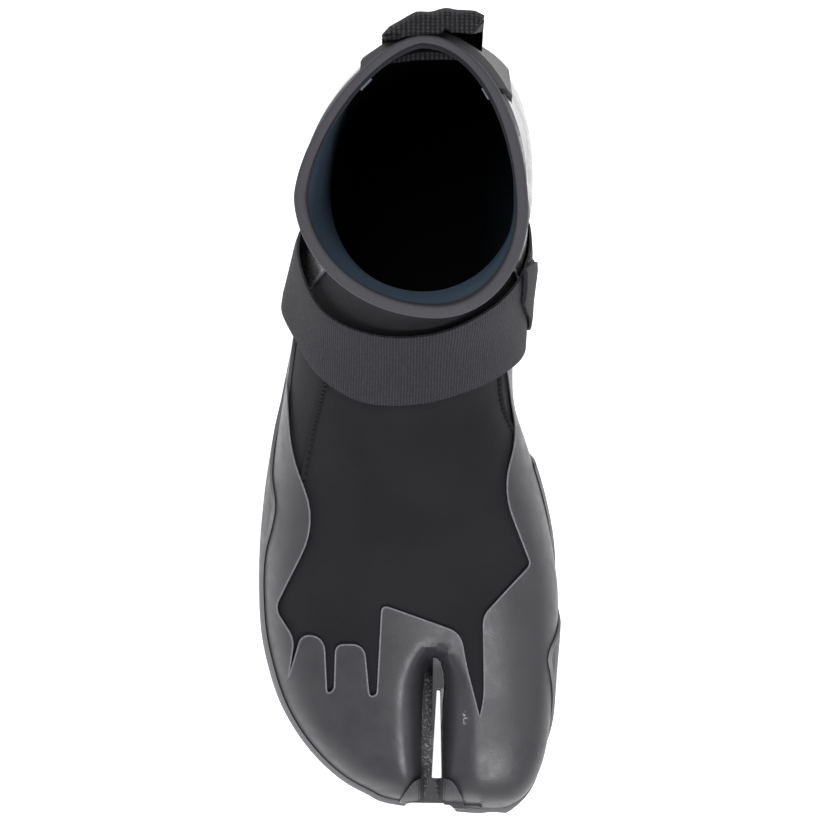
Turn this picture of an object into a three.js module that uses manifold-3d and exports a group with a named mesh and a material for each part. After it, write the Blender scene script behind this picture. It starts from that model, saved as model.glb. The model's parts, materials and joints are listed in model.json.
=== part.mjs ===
// A split-toe surf bootie for the right foot, in millimetres.
// A neoprene upper with a wall of one thickness stands on a neoprene insole and is cupped by a rubber
// outsole. Rubber panels wrap the toes, the sides and the heel. A webbing strap crosses the instep, with a
// second layer on the big toe's side, and a wide webbing loop at the back pulls the boot on.
// Frame: +Z up, the toes point to -Y, +X is the big toe's side. The origin is on the floor, under the
// middle of the heel seat.
import * as THREE from "three";
import { mergeVertices } from "three/addons/utils/BufferGeometryUtils.js";
import Module from "manifold-3d";

const wasm = await Module();
wasm.setup();

// Driving dimensions
const SOLE_LENGTH = 278;
const HEEL_SEAT = 37; // from the origin back to the sole's end
const BALL_WIDTH = 110;
const ANKLE_WIDTH = 77;
const COLLAR_WIDTH = 74;
const COLLAR_LENGTH = 93;
const COLLAR_HEIGHT = 150;
const TOE_HEIGHT = 37;
const INSTEP_HEIGHT = 72;
const TOE_SPRING = 5;
const ARCH_RISE = 2.5;

// Thicknesses and clearances
const WALL = 3;
const HEM = 1; // how much thicker the wall is at the collar
const HEM_HEIGHT = 6;
const INSOLE_THICKNESS = 4.5;
const RUBBER = 1.2;
const SOLE_THICKNESS = 4.5;
const LIP_THICKNESS = 1.8; // of the outsole's side, near the floor
const LIP_EDGE = 0.9; // and at the top of its petals
const GAP = 0.3;
const OPEN_END = 6; // how far a cutter runs past the face that it opens

// Split between the toes
const SPLIT_X = 8.8;
const SPLIT_WIDTH = 7.4;
const SPLIT_LENGTH = 58;
const SLOT_X = 10.8;
const SLOT_WIDTH = 3.6;
const SLOT_LENGTH = 32;
const SLOT_NARROWS = 0.3; // its width at the back, as a share of its width in front
const BRIDGE_LENGTH = 12.5; // from the toe's tip back to the slot
const BRIDGE_WIDTH = 13;
const BRIDGE_HEIGHT = 19;
const BRIDGE_DENT = 3.5; // how far the bridge stands back from the toe's tip
const DENT_LATERAL = 0.7; // the dent's reach to either side, as shares of the bridge's width
const DENT_MEDIAL = 0.5;
const BRIDGE_ROUNDING = 0.5; // of the corners' radius

// Rubber panels
const RAND_START = 9.6; // the panels' lower edge over the sole's underside, inside the lip
const PANEL_SEAM_Y = -56; // where the toe panel meets the heel's, under the strap
const RAND_TOP = 0.44 * COLLAR_HEIGHT; // the toe panel's wings end there, under the strap
const WING_FROM = 0.5; // of the sole's length: behind it each wing is whole
const WING_LOW = 0.4 * INSTEP_HEIGHT; // up to this height
const PATCH_THICKNESS = 3;
const PATCH_WIDTH = 0.69 * COLLAR_WIDTH;
const PATCH_X = 0.092 * COLLAR_WIDTH;
const PATCH_BOTTOM = 0.52 * COLLAR_HEIGHT;
const PATCH_BELOW = 2; // the hem
const PATCH_TOP = COLLAR_HEIGHT - HEM_HEIGHT - PATCH_BELOW;
const CORNER_RADIUS = 5;

// Strap, tab and loop
const WEBBING = 1.6;
const TAB_THICKNESS = 1.1;
const LOOP_WIDTH = 0.46 * COLLAR_WIDTH;
const LOOP_X = 0.072 * COLLAR_WIDTH;
const LOOP_BOTTOM = 0.707 * COLLAR_HEIGHT;
const LOOP_ABOVE = 2; // the collar
const LOOP_TOP = COLLAR_HEIGHT + LOOP_ABOVE;
const LOOP_REACH = 11.5; // behind the collar

// Flex grooves across the underside
const GROOVE_DEPTH = 1.4;
const GROOVE_WIDTH = 2.6;
const GROOVE_PITCH = 12;

// Fineness of the faceted surfaces
const RING_POINTS = 24;
const CORNER_STEPS = 3;

const TOE_Y = HEEL_SEAT - SOLE_LENGTH;
const BASE_Z = SOLE_THICKNESS + GAP;
const PANEL_OUT = GAP + RUBBER; // a panel's outside, over the upper
const LIP_IN = PANEL_OUT + GAP;
const LIP_OUT = LIP_IN + LIP_THICKNESS;
const PATCH_OUT = GAP + PATCH_THICKNESS;
const LOOP_IN = PATCH_OUT + GAP;
const FAR = 2 * SOLE_LENGTH;

const along = (share) => TOE_Y + share * SOLE_LENGTH;
const across = (share) => share * BALL_WIDTH;
const clamp01 = (t) => Math.min(1, Math.max(0, t));
const mix = (a, b, t) => a + (b - a) * t;

// The sole's lift off the floor: toe spring in front, and a low arch between ball and heel.
const SPRING_FROM = 0.2;
const ARCH_FROM = 0.47;
const ARCH_TO = 0.76;
function lift(y) {
  const share = (y - TOE_Y) / SOLE_LENGTH;
  const spring = TOE_SPRING * clamp01((SPRING_FROM - share) / SPRING_FROM) ** 1.6;
  const arch = clamp01((share - ARCH_FROM) / (ARCH_TO - ARCH_FROM));
  return spring + ARCH_RISE * Math.sin(Math.PI * arch) ** 2;
}

// Sections of the foot, from the toes to the instep. at is a share of the sole's length from the toe's tip.
// lat and med are the edges on the little toe's and the big toe's side, and ridge the crest's place, as
// shares of the ball's width. top is the height as a share of the toe's height. widest is the share of the
// height at the widest point, crown and corner say how square the upper and lower halves are.
const TOE_SECTIONS = [
  { at: 0.0126, lat: 0.235, med: 0.315, ridge: 0.28, top: 0.46, widest: 0.5, crown: 2, corner: 2 },
  { at: 0.0162, lat: 0.12, med: 0.33, ridge: 0.26, top: 0.58, widest: 0.46, crown: 2.1, corner: 2.2 },
  { at: 0.0234, lat: -0.045, med: 0.352, ridge: 0.24, top: 0.69, widest: 0.42, crown: 2.2, corner: 2.6 },
  { at: 0.0342, lat: -0.11, med: 0.378, ridge: 0.23, top: 0.77, widest: 0.4, crown: 2.2, corner: 2.8 },
  { at: 0.0504, lat: -0.185, med: 0.4, ridge: 0.22, top: 0.838, widest: 0.38, crown: 2.2, corner: 3 },
  { at: 0.0755, lat: -0.258, med: 0.42, ridge: 0.21, top: 0.897, widest: 0.37, crown: 2.2, corner: 3.2 },
  { at: 0.108, lat: -0.325, med: 0.432, ridge: 0.2, top: 0.946, widest: 0.36, crown: 2.2, corner: 3.3 },
  { at: 0.1475, lat: -0.381, med: 0.438, ridge: 0.19, top: 1, widest: 0.35, crown: 2.2, corner: 3.4 },
];
const TIP_RISE = 3; // of the underside at the toe's very tip
const TIP_SHARE = 0.02; // of the sole's length, over which it runs out
const tipRise = (at) => TIP_RISE * clamp01(1 - (at - TOE_SECTIONS[0].at) / TIP_SHARE) ** 3;

// The same from the ball to the instep, with top as a share of the instep's height.
const BALL_SECTIONS = [
  { at: 0.191, lat: -0.42, med: 0.446, ridge: 0.17, top: 0.556, widest: 0.34, crown: 2.2, corner: 3.5 },
  { at: 0.237, lat: -0.447, med: 0.457, ridge: 0.15, top: 0.604, widest: 0.33, crown: 2.2, corner: 3.6 },
  { at: 0.291, lat: -0.46, med: 0.461, ridge: 0.125, top: 0.667, widest: 0.31, crown: 2.2, corner: 3.6 },
  { at: 0.3525, lat: -0.462, med: 0.443, ridge: 0.095, top: 0.736, widest: 0.3, crown: 2.1, corner: 3.6 },
  { at: 0.417, lat: -0.452, med: 0.411, ridge: 0.065, top: 0.813, widest: 0.29, crown: 2, corner: 3.6 },
  { at: 0.478, lat: -0.432, med: 0.36, ridge: 0.045, top: 0.903, widest: 0.29, crown: 2, corner: 3.6 },
];

// Sections that fan round the instep, from the arch over the heel to the ankle. base and front are shares of
// the sole's length from the origin, forwards positive. rise and top are shares of the collar's height. lat,
// med and keel, the middle of the underside or back, are shares of the ankle's width.
const FAN_SECTIONS = [
  { base: 0.324, rise: 0, front: 0.356, top: 0.477, lat: -0.585, med: 0.455, keel: -0.06, widest: 0.3 },
  { base: 0.245, rise: 0, front: 0.322, top: 0.54, lat: -0.55, med: 0.445, keel: -0.05, widest: 0.32 },
  { base: 0.151, rise: 0, front: 0.291, top: 0.607, lat: -0.51, med: 0.462, keel: -0.02, widest: 0.35 },
  { base: 0.05, rise: 0, front: 0.27, top: 0.667, lat: -0.476, med: 0.5, keel: 0.01, widest: 0.38 },
  { base: -0.036, rise: 0, front: 0.256, top: 0.717, lat: -0.45, med: 0.51, keel: 0.035, widest: 0.41 },
  { base: -0.0935, rise: 0.02, front: 0.25, top: 0.75, lat: -0.44, med: 0.515, keel: 0.055, widest: 0.48 },
  { base: -0.1215, rise: 0.1, front: 0.248, top: 0.777, lat: -0.425, med: 0.515, keel: 0.08, widest: 0.53 },
  { base: -0.1275, rise: 0.21, front: 0.247, top: 0.8, lat: -0.427, med: 0.513, keel: 0.085, widest: 0.57 },
  { base: -0.1195, rise: 0.345, front: 0.248, top: 0.827, lat: -0.435, med: 0.508, keel: 0.085, widest: 0.6 },
  { base: -0.1015, rise: 0.5, front: 0.254, top: 0.86, lat: -0.45, med: 0.496, keel: 0.08, widest: 0.61 },
];
// How square the lower or back half is, on the little toe's side and on the big toe's.
const FAN_OUTER_CORNERS = [3.6, 3.5, 3.4, 3.1, 2.8, 2.55, 2.45, 2.4, 2.35, 2.2];
const FAN_INNER_CORNERS = [3.6, 3.5, 3.4, 3.1, 2.8, 2.6, 2.5, 2.45, 2.45, 2.45];

// Sections of the shaft up to the collar. back and front are shares of the collar's length behind and before
// the collar's middle, rise and top are shares of its height, the others of its width.
const SHAFT_SECTIONS = [
  { back: 0.589, rise: 0.66, front: 0.449, top: 0.9, lat: -0.495, med: 0.492, keel: 0.062, ridge: 0.055 },
  { back: 0.537, rise: 0.83, front: 0.478, top: 0.947, lat: -0.511, med: 0.495, keel: 0.038, ridge: 0.08 },
  { back: 0.5, rise: 1, front: 0.5, top: 1, lat: -0.526, med: 0.492, keel: 0.015, ridge: 0.1 },
];
const SHAFT_OUTER_CORNERS = [2, 1.7, 1.46];
const SHAFT_INNER_CORNERS = [2.4, 2.25, 2.07];
const SHAFT_WIDEST = [0.61, 0.6, 0.588];
const COLLAR_MIDDLE = -0.1115 * SOLE_LENGTH;
const SHIN_X = 0.04 * COLLAR_WIDTH;
const ANKLE_CROWN = 2;

const footRow = (row, height) => ({
  ...row,
  outer: row.corner,
  inner: row.corner,
  baseY: along(row.at),
  baseZ: BASE_Z + lift(along(row.at)) + tipRise(row.at),
  topY: along(row.at),
  topZ: row.top * height,
  lateral: across(row.lat),
  medial: across(row.med),
  baseX: across((row.lat + row.med) / 2),
  topX: across(row.ridge),
});
const fanRow = (row, i) => ({
  ...row,
  outer: FAN_OUTER_CORNERS[i],
  inner: FAN_INNER_CORNERS[i],
  baseY: -row.base * SOLE_LENGTH,
  baseZ: BASE_Z + lift(-row.base * SOLE_LENGTH) + row.rise * (COLLAR_HEIGHT - BASE_Z),
  topY: -row.front * SOLE_LENGTH,
  topZ: row.top * COLLAR_HEIGHT,
  lateral: row.lat * ANKLE_WIDTH,
  medial: row.med * ANKLE_WIDTH,
  baseX: row.keel * ANKLE_WIDTH,
  topX: SHIN_X,
  crown: ANKLE_CROWN,
});
const shaftRow = (row, i) => ({
  ...row,
  outer: SHAFT_OUTER_CORNERS[i],
  inner: SHAFT_INNER_CORNERS[i],
  widest: SHAFT_WIDEST[i],
  baseY: COLLAR_MIDDLE + row.back * COLLAR_LENGTH,
  baseZ: BASE_Z + row.rise * (COLLAR_HEIGHT - BASE_Z),
  topY: COLLAR_MIDDLE - row.front * COLLAR_LENGTH,
  topZ: row.top * COLLAR_HEIGHT,
  lateral: row.lat * COLLAR_WIDTH,
  medial: row.med * COLLAR_WIDTH,
  baseX: row.keel * COLLAR_WIDTH,
  topX: row.ridge * COLLAR_WIDTH,
  crown: ANKLE_CROWN,
});
const ROWS = [
  ...TOE_SECTIONS.map((row) => footRow(row, TOE_HEIGHT)),
  ...BALL_SECTIONS.map((row) => footRow(row, INSTEP_HEIGHT)),
  ...FAN_SECTIONS.map(fanRow),
  ...SHAFT_SECTIONS.map(shaftRow),
];
const LAST_ROW = ROWS.length - 1;
const LAST_FOOT_ROW = TOE_SECTIONS.length + BALL_SECTIONS.length - 1;

// A smooth curve through a column of the rows, at a place between two of them.
function column(name, place) {
  const i = Math.min(LAST_ROW - 1, Math.floor(place));
  const t = place - i;
  const at = (k) => ROWS[Math.min(LAST_ROW, Math.max(0, k))][name];
  const [a, b, c, d] = [at(i - 1), at(i), at(i + 1), at(i + 2)];
  return b + 0.5 * t * (c - a + t * (2 * a - 5 * b + 4 * c - d + t * (3 * (b - c) + d - a)));
}

// A point of the upper's outside. place runs from 0 at the toes to LAST_ROW at the collar, turn from 0 at the
// crest, over the big toe's side, to half a turn at the sole or the back.
function surface(place, turn) {
  const value = (name) => column(name, place);
  const [c, s] = [Math.cos(turn), Math.sin(turn)];
  const widest = value("widest");
  const power = 2 / value(c > 0 ? "crown" : s > 0 ? "inner" : "outer");
  const height = c > 0 ? widest + (1 - widest) * c ** power : widest - widest * (-c) ** power;
  const spine = (share) => mix(value("baseX"), value("topX"), share);
  const reach = value(s > 0 ? "medial" : "lateral") - spine(widest);
  return new THREE.Vector3(
    spine(height) + reach * Math.abs(s) ** power,
    mix(value("baseY"), value("topY"), height),
    mix(value("baseZ"), value("topZ"), height),
  );
}

const STEP = 0.02;
function normal(place, turn) {
  const [before, after] = [Math.max(0, place - STEP), Math.min(LAST_ROW, place + STEP)];
  const lengthwise = surface(after, turn).sub(surface(before, turn));
  const round = surface(place, turn + STEP).sub(surface(place, turn - STEP));
  return round.cross(lengthwise).normalize();
}
const over = (place, turn, distance) =>
  surface(place, turn).addScaledVector(normal(place, turn), distance);

// A closed solid from points and triangles, turned right side out.
function closed(points, faces) {
  const vertProperties = new Float32Array(points.flatMap((p) => [p.x, p.y, p.z]));
  const make = (triangles) =>
    new wasm.Manifold(new wasm.Mesh({ numProp: 3, vertProperties, triVerts: new Uint32Array(triangles) }));
  const made = make(faces);
  return made.volume() > 0 ? made : make([...faces].reverse());
}

// A closed solid through rings that have the same number of points each.
function loft(rings) {
  const count = rings[0].length;
  const middle = (ring) =>
    ring.reduce((sum, p) => sum.add(p), new THREE.Vector3()).divideScalar(count);
  const points = [...rings.flat(), middle(rings[0]), middle(rings.at(-1))];
  const faces = [];
  for (let i = 0; i + 1 < rings.length; i++)
    for (let j = 0; j < count; j++) {
      const next = (j + 1) % count;
      const [a, b] = [i * count + j, i * count + next];
      faces.push(a, b, b + count, a, b + count, a + count);
    }
  const [first, last] = [points.length - 2, points.length - 1];
  for (let j = 0; j < count; j++) {
    const next = (j + 1) % count;
    faces.push(first, next, j);
    faces.push(last, (rings.length - 1) * count + j, (rings.length - 1) * count + next);
  }
  return closed(points, faces);
}

// The foot's form, grown or shrunk by a distance. past lengthens it beyond the collar.
function form(distance, past = 0) {
  const rings = ROWS.map((_, place) => ring(place, (turn) => over(place, turn, distance)));
  if (past) rings.push(rings.at(-1).map((p) => p.clone().setZ(p.z + past)));
  return loft(rings);
}
const ring = (place, point) =>
  Array.from({ length: RING_POINTS }, (_, j) => point(((j + 0.5) * 2 * Math.PI) / RING_POINTS));

// The height of the crest over the floor, at a place along the foot.
const SEARCH_STEPS = 30;
function crest(y) {
  let [front, back] = [0, LAST_FOOT_ROW];
  for (let i = 0; i < SEARCH_STEPS; i++) {
    const middle = (front + back) / 2;
    if (column("topY", middle) < y) front = middle;
    else back = middle;
  }
  return column("topZ", front);
}

// The split between the toes, as a groove with rounded shoulders. level is a share of the height from the
// sole to the crest, lateral and medial are its reach to either side as shares of half the split's width.
const SPLIT_PROFILE = [
  { level: -0.6, lateral: 1, medial: 1 },
  { level: 0.5, lateral: 1.15, medial: 1.08 },
  { level: 0.74, lateral: 1.5, medial: 1.35 },
  { level: 0.87, lateral: 1.9, medial: 1.8 },
  { level: 0.95, lateral: 2.5, medial: 2.4 },
  { level: 1.02, lateral: 3.4, medial: 3.3 },
  { level: 1.35, lateral: 6.6, medial: 6.4 },
];
const DEEPEST = SPLIT_PROFILE[0].level;
const HIGHEST = SPLIT_PROFILE.at(-1).level;
// Along the split, from in front of the toes to its closed end: its width, and the level of its floor.
const SPLIT_RUN = [
  { at: -0.25, width: 1, floor: DEEPEST },
  { at: 0.64, width: 0.94, floor: DEEPEST },
  { at: 0.78, width: 0.86, floor: DEEPEST },
  { at: 0.86, width: 0.72, floor: -0.1 },
  { at: 0.91, width: 0.58, floor: 0.4 },
  { at: 0.96, width: 0.42, floor: 0.76 },
  { at: 1, width: 0.24, floor: 1 },
];
function split(distance) {
  return loft(
    SPLIT_RUN.map((run) => {
      const y = TOE_Y + run.at * SPLIT_LENGTH + (run.floor > DEEPEST ? distance : 0);
      const low = BASE_Z + lift(y);
      const side = (sign, name) =>
        SPLIT_PROFILE.map((row) => {
          const share = (row.level - DEEPEST) / (HIGHEST - DEEPEST);
          const level = mix(run.floor, HIGHEST, share);
          const half = (row[name] * run.width * SPLIT_WIDTH) / 2 + distance;
          const z = mix(low, crest(y), level) - distance;
          return new THREE.Vector3(SPLIT_X + sign * half, y, z);
        });
      return [...side(-1, "lateral"), ...side(1, "medial").reverse()];
    }),
  );
}

// The form with its split: distance grows the foot, and the split's walls follow inwards by the same amount.
const splitForm = (distance, past) => form(distance, past).subtract(split(PANEL_OUT - distance));

// An outline through corners [x, y, soft], each rounded by soft times the corners' radius.
function rounded(corners) {
  const at = (i) => new THREE.Vector2(...corners[(i + corners.length) % corners.length]);
  return corners.flatMap(([, , soft = 0], i) => {
    const here = at(i);
    if (!soft) return [here];
    const near = (other) => {
      const reach = Math.min(soft * CORNER_RADIUS, here.distanceTo(other) * 0.48);
      return here.clone().lerp(other, reach / here.distanceTo(other));
    };
    return new THREE.QuadraticBezierCurve(near(at(i - 1)), here, near(at(i + 1))).getPoints(CORNER_STEPS);
  });
}

// Prisms from an outline: across the shoe from Y and Z, upright from X and Y, and lengthwise from X and Z.
function prism(outline, from, to, place) {
  const points = outline.map((p) => (p.isVector2 ? p : new THREE.Vector2(p[0], p[1])));
  const depth = to - from;
  const geometry = new THREE.ExtrudeGeometry(new THREE.Shape(points), { depth, bevelEnabled: false });
  geometry.translate(0, 0, from);
  geometry.applyMatrix4(new THREE.Matrix4().set(...place, 0, 0, 0, 1));
  geometry.deleteAttribute("normal");
  geometry.deleteAttribute("uv");
  const merged = mergeVertices(geometry);
  const position = merged.getAttribute("position");
  const vertices = Array.from({ length: position.count }, (_, i) =>
    new THREE.Vector3().fromBufferAttribute(position, i),
  );
  return closed(vertices, Array.from(merged.index.array));
}
const SIDE = [0, 0, 1, 0, 1, 0, 0, 0, 0, 1, 0, 0];
const PLAN = [1, 0, 0, 0, 0, 1, 0, 0, 0, 0, 1, 0];
const FRONT = [1, 0, 0, 0, 0, 0, 1, 0, 0, 1, 0, 0];
const sidePrism = (outline, from = -FAR, to = FAR) => prism(outline, from, to, SIDE);
const planPrism = (outline, from = -FAR, to = FAR) => prism(outline, from, to, PLAN);
const frontPrism = (outline, from = -FAR, to = FAR) => prism(outline, from, to, FRONT);
const block = (x, y, z) => planPrism([[x[0], y[0]], [x[1], y[0]], [x[1], y[1]], [x[0], y[1]]], ...z);

// What lies between two heights over the sole's underside, following its spring and arch.
const STATIONS = 22;
function slab(low, high) {
  const line = (height) =>
    Array.from({ length: STATIONS }, (_, i) => {
      const y = mix(TOE_Y - LIP_OUT, HEEL_SEAT + LIP_OUT, i / (STATIONS - 1));
      return [y, lift(y) + height];
    });
  return sidePrism([...line(low), ...line(high).reverse()]);
}

const INSOLE_TOP = BASE_Z + INSOLE_THICKNESS;

function makeUpper() {
  const hem = form(HEM).intersect(block([-FAR, FAR], [-FAR, FAR], [COLLAR_HEIGHT - HEM_HEIGHT, FAR]));
  return splitForm(0)
    .add(hem)
    .subtract(splitForm(-WALL, OPEN_END))
    .subtract(slab(-FAR, INSOLE_TOP + GAP));
}

const makeInsole = () => splitForm(0).intersect(slab(-FAR, INSOLE_TOP));

// The outsole's lip along each side: at is a share of the sole's length from the toe's tip, high the lip's
// height over the floor as a share of the toe's height, and soft how round its corner is.
const LIP = {
  medial: [
    { at: 0, high: 0.38, soft: 0 },
    { at: 0.09, high: 0.4, soft: 1 },
    { at: 0.14, high: 0.64, soft: 1 },
    { at: 0.205, high: 0.93, soft: 1.2 },
    { at: 0.235, high: 0.8, soft: 1 },
    { at: 0.275, high: 0.44, soft: 1 },
    { at: 0.305, high: 0.42, soft: 1 },
    { at: 0.37, high: 0.72, soft: 2 },
    { at: 0.453, high: 0.9, soft: 0.6 },
    { at: 0.475, high: 0.44, soft: 1 },
    { at: 0.53, high: 0.36, soft: 1 },
    { at: 0.76, high: 0.4, soft: 2 },
    { at: 0.92, high: 0.64, soft: 3 },
    { at: 1, high: 0.7, soft: 0 },
  ],
  lateral: [
    { at: 0, high: 0.38, soft: 0 },
    { at: 0.12, high: 0.36, soft: 1 },
    { at: 0.32, high: 0.42, soft: 2 },
    { at: 0.36, high: 0.7, soft: 1 },
    { at: 0.4, high: 0.82, soft: 1.5 },
    { at: 0.455, high: 0.52, soft: 2 },
    { at: 0.53, high: 0.36, soft: 1 },
    { at: 0.76, high: 0.4, soft: 2 },
    { at: 0.92, high: 0.64, soft: 3 },
    { at: 1, high: 0.7, soft: 0 },
  ],
};
function lipSide(name, fromX, toX) {
  const top = LIP[name].map((row) => [along(row.at), row.high * TOE_HEIGHT, row.soft]);
  const [front, back] = [TOE_Y - LIP_OUT, HEEL_SEAT + LIP_OUT];
  const ends = [[back, top.at(-1)[1]], [back, -FAR], [front, -FAR], [front, top[0][1]]];
  return sidePrism(rounded([...top, ...ends]), fromX, toX);
}

// The outsole's outside: the form grown over the panels, thinner at the lip's top than at the floor, and let
// down so that the floor's plane, z = 0, trims its underside flat.
const TRIMMED = 1.6;
const LET_DOWN = BASE_Z - LIP_OUT + TRIMMED;
const LET_DOWN_OVER = 24;
const THIN_FROM = 10;
const THIN_TO = 22;
function soleForm() {
  return loft(
    ROWS.map((_, place) =>
      ring(place, (turn) => {
        const foot = surface(place, turn);
        const high = foot.z - lift(foot.y);
        const thin = clamp01((high - THIN_FROM) / (THIN_TO - THIN_FROM));
        const p = over(place, turn, LIP_IN + mix(LIP_THICKNESS, LIP_EDGE, thin));
        return p.setZ(p.z - LET_DOWN * clamp01(1 - high / LET_DOWN_OVER));
      }),
    ),
  );
}

// Flex grooves under the ball and the heel, between the flat pads that the boot stands on. from and to are
// shares of the sole's length from the toe's tip, reach and x the half-length and middle as shares of the
// ball's width.
const GROOVE_ROWS = [
  { from: 0.1, to: 0.3, reach: 0.25, x: 0.02 },
  { from: 0.4, to: 0.48, reach: 0.25, x: -0.02 },
  { from: 0.75, to: 0.82, reach: 0.15, x: 0 },
  { from: 0.92, to: 0.97, reach: 0.12, x: 0 },
];
function grooves() {
  const cuts = GROOVE_ROWS.flatMap(({ from, to, reach, x }) => {
    const count = Math.floor(((to - from) * SOLE_LENGTH) / GROOVE_PITCH) + 1;
    return Array.from({ length: count }, (_, i) => {
      const y = along(from) + i * GROOVE_PITCH;
      const ends = [across(x - reach), across(x + reach)];
      return block(ends, [y, y + GROOVE_WIDTH], [-OPEN_END, lift(y + GROOVE_WIDTH / 2) + GROOVE_DEPTH]);
    });
  });
  return wasm.Manifold.union(cuts);
}

function makeOutsole() {
  const corner = BRIDGE_ROUNDING;
  const bridge = frontPrism(
    rounded([
      [SPLIT_X - BRIDGE_WIDTH, 0],
      [SPLIT_X - BRIDGE_WIDTH / 2, BRIDGE_HEIGHT, corner],
      [SPLIT_X + BRIDGE_WIDTH / 2, BRIDGE_HEIGHT, corner],
      [SPLIT_X + BRIDGE_WIDTH, 0],
    ]),
    -FAR,
    TOE_Y + BRIDGE_LENGTH,
  );
  const lips = lipSide("lateral", -FAR, SPLIT_X + LIP_EDGE).add(lipSide("medial", SPLIT_X, FAR)).add(bridge);
  // Behind the bridge the cavity takes in the valley between the toes, down to the panels' lower edge.
  const slotFront = TOE_Y + BRIDGE_LENGTH;
  const behind = form(LIP_IN).intersect(block([-FAR, FAR], [slotFront, FAR], [-FAR, FAR]));
  const cavity = splitForm(LIP_IN).add(behind).intersect(slab(RAND_START - GAP, FAR)).add(splitForm(GAP));
  const slotBack = slotFront + SLOT_LENGTH;
  const slot = planPrism([
    [SLOT_X - SLOT_WIDTH / 2, slotFront],
    [SLOT_X + SLOT_WIDTH / 2, slotFront],
    [SLOT_X + SLOT_NARROWS * SLOT_WIDTH, slotBack],
    [SLOT_X, slotBack],
  ]);
  const dent = planPrism(
    rounded([
      [SPLIT_X - BRIDGE_WIDTH, TOE_Y - LIP_OUT],
      [SPLIT_X - DENT_LATERAL * BRIDGE_WIDTH, TOE_Y + BRIDGE_DENT, corner],
      [SPLIT_X + DENT_MEDIAL * BRIDGE_WIDTH, TOE_Y + BRIDGE_DENT, corner],
      [SPLIT_X + BRIDGE_WIDTH, TOE_Y - LIP_OUT],
    ]),
  );
  return soleForm()
    .intersect(slab(0, FAR))
    .intersect(lips)
    .subtract(cavity)
    .subtract(slot)
    .subtract(dent)
    .subtract(grooves());
}

// The toe panel's upper edge, seen from above, from the little toe's side over the toes to the big toe's
// side. at is a share of the sole's length from the toe's tip, over a share of the ball's width, soft the
// rounding.
const CLAW_EDGE = [
  { at: 0.72, over: -0.43, soft: 0 },
  { at: 0.54, over: -0.412, soft: 2 },
  { at: 0.46, over: -0.395, soft: 2 },
  { at: 0.368, over: -0.302, soft: 2.6 },
  { at: 0.262, over: -0.443, soft: 0.7 },
  { at: 0.221, over: -0.376, soft: 0.7 },
  { at: 0.168, over: -0.396, soft: 0.25 },
  { at: 0.2, over: -0.37, soft: 1 },
  { at: 0.228, over: -0.35, soft: 0.8 },
  { at: 0.222, over: -0.276, soft: 1 },
  { at: 0.15, over: -0.266, soft: 0.5 },
  { at: 0.156, over: -0.24, soft: 0.3 },
  { at: 0.214, over: -0.237, soft: 0.6 },
  { at: 0.214, over: -0.145, soft: 0.9 },
  { at: 0.147, over: -0.127, soft: 0.5 },
  { at: 0.15, over: -0.1, soft: 0.3 },
  { at: 0.264, over: -0.088, soft: 0.5 },
  { at: 0.23, over: 0.166, soft: 0.9 },
  { at: 0.186, over: 0.188, soft: 1 },
  { at: 0.121, over: 0.234, soft: 0.3 },
  { at: 0.15, over: 0.248, soft: 1 },
  { at: 0.252, over: 0.24, soft: 0.6 },
  { at: 0.319, over: 0.393, soft: 0.4 },
  { at: 0.41, over: 0.297, soft: 2 },
  { at: 0.485, over: 0.343, soft: 1.6 },
  { at: 0.56, over: 0.311, soft: 1 },
  { at: 0.72, over: 0.2, soft: 0 },
];

function makeToeRand() {
  const edge = rounded(CLAW_EDGE.map((row) => [across(row.over), along(row.at), row.soft]));
  const wings = block([-FAR, FAR], [along(WING_FROM), FAR], [-FAR, WING_LOW]);
  const window = planPrism(edge, RAND_START + CORNER_RADIUS, FAR).subtract(wings);
  return splitForm(PANEL_OUT)
    .subtract(splitForm(GAP))
    .intersect(slab(RAND_START, FAR))
    .intersect(block([-FAR, FAR], [-FAR, PANEL_SEAM_Y - GAP], [-FAR, RAND_TOP]))
    .subtract(window);
}

// The heel panel's upper edge from the side: at is a share of the sole's length from the toe's tip, high a
// share of the collar's height.
const COUNTER_EDGE = [
  { at: 0.667, high: 0.36, soft: 0 },
  { at: 0.69, high: 0.56, soft: 2 },
  { at: 0.73, high: 0.75, soft: 3 },
  { at: 0.8, high: 0.86, soft: 3 },
  { at: 0.88, high: 0.91, soft: 3 },
  { at: 1.02, high: 0.91, soft: 0 },
];
const COUNTER_START = 0.288; // the edge's height at the seam with the toe panel, as such a share
const patchBlock = (gap) =>
  block(
    [PATCH_X - PATCH_WIDTH / 2 - gap, PATCH_X + PATCH_WIDTH / 2 + gap],
    [-gap, FAR],
    [PATCH_BOTTOM - gap, PATCH_TOP + gap],
  );
const panel = () => form(PANEL_OUT).subtract(form(GAP));

function makeHeelCounter() {
  const edge = COUNTER_EDGE.map((row) => [along(row.at), row.high * COLLAR_HEIGHT, row.soft]);
  const ends = [[edge.at(-1)[0], 0], [PANEL_SEAM_Y, 0], [PANEL_SEAM_Y, COUNTER_START * COLLAR_HEIGHT]];
  return panel()
    .intersect(slab(RAND_START, FAR))
    .intersect(sidePrism(rounded([...edge, ...ends])))
    .subtract(patchBlock(GAP));
}

const makeBackPatch = () => form(PATCH_OUT).subtract(form(GAP)).intersect(patchBlock(0));

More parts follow.
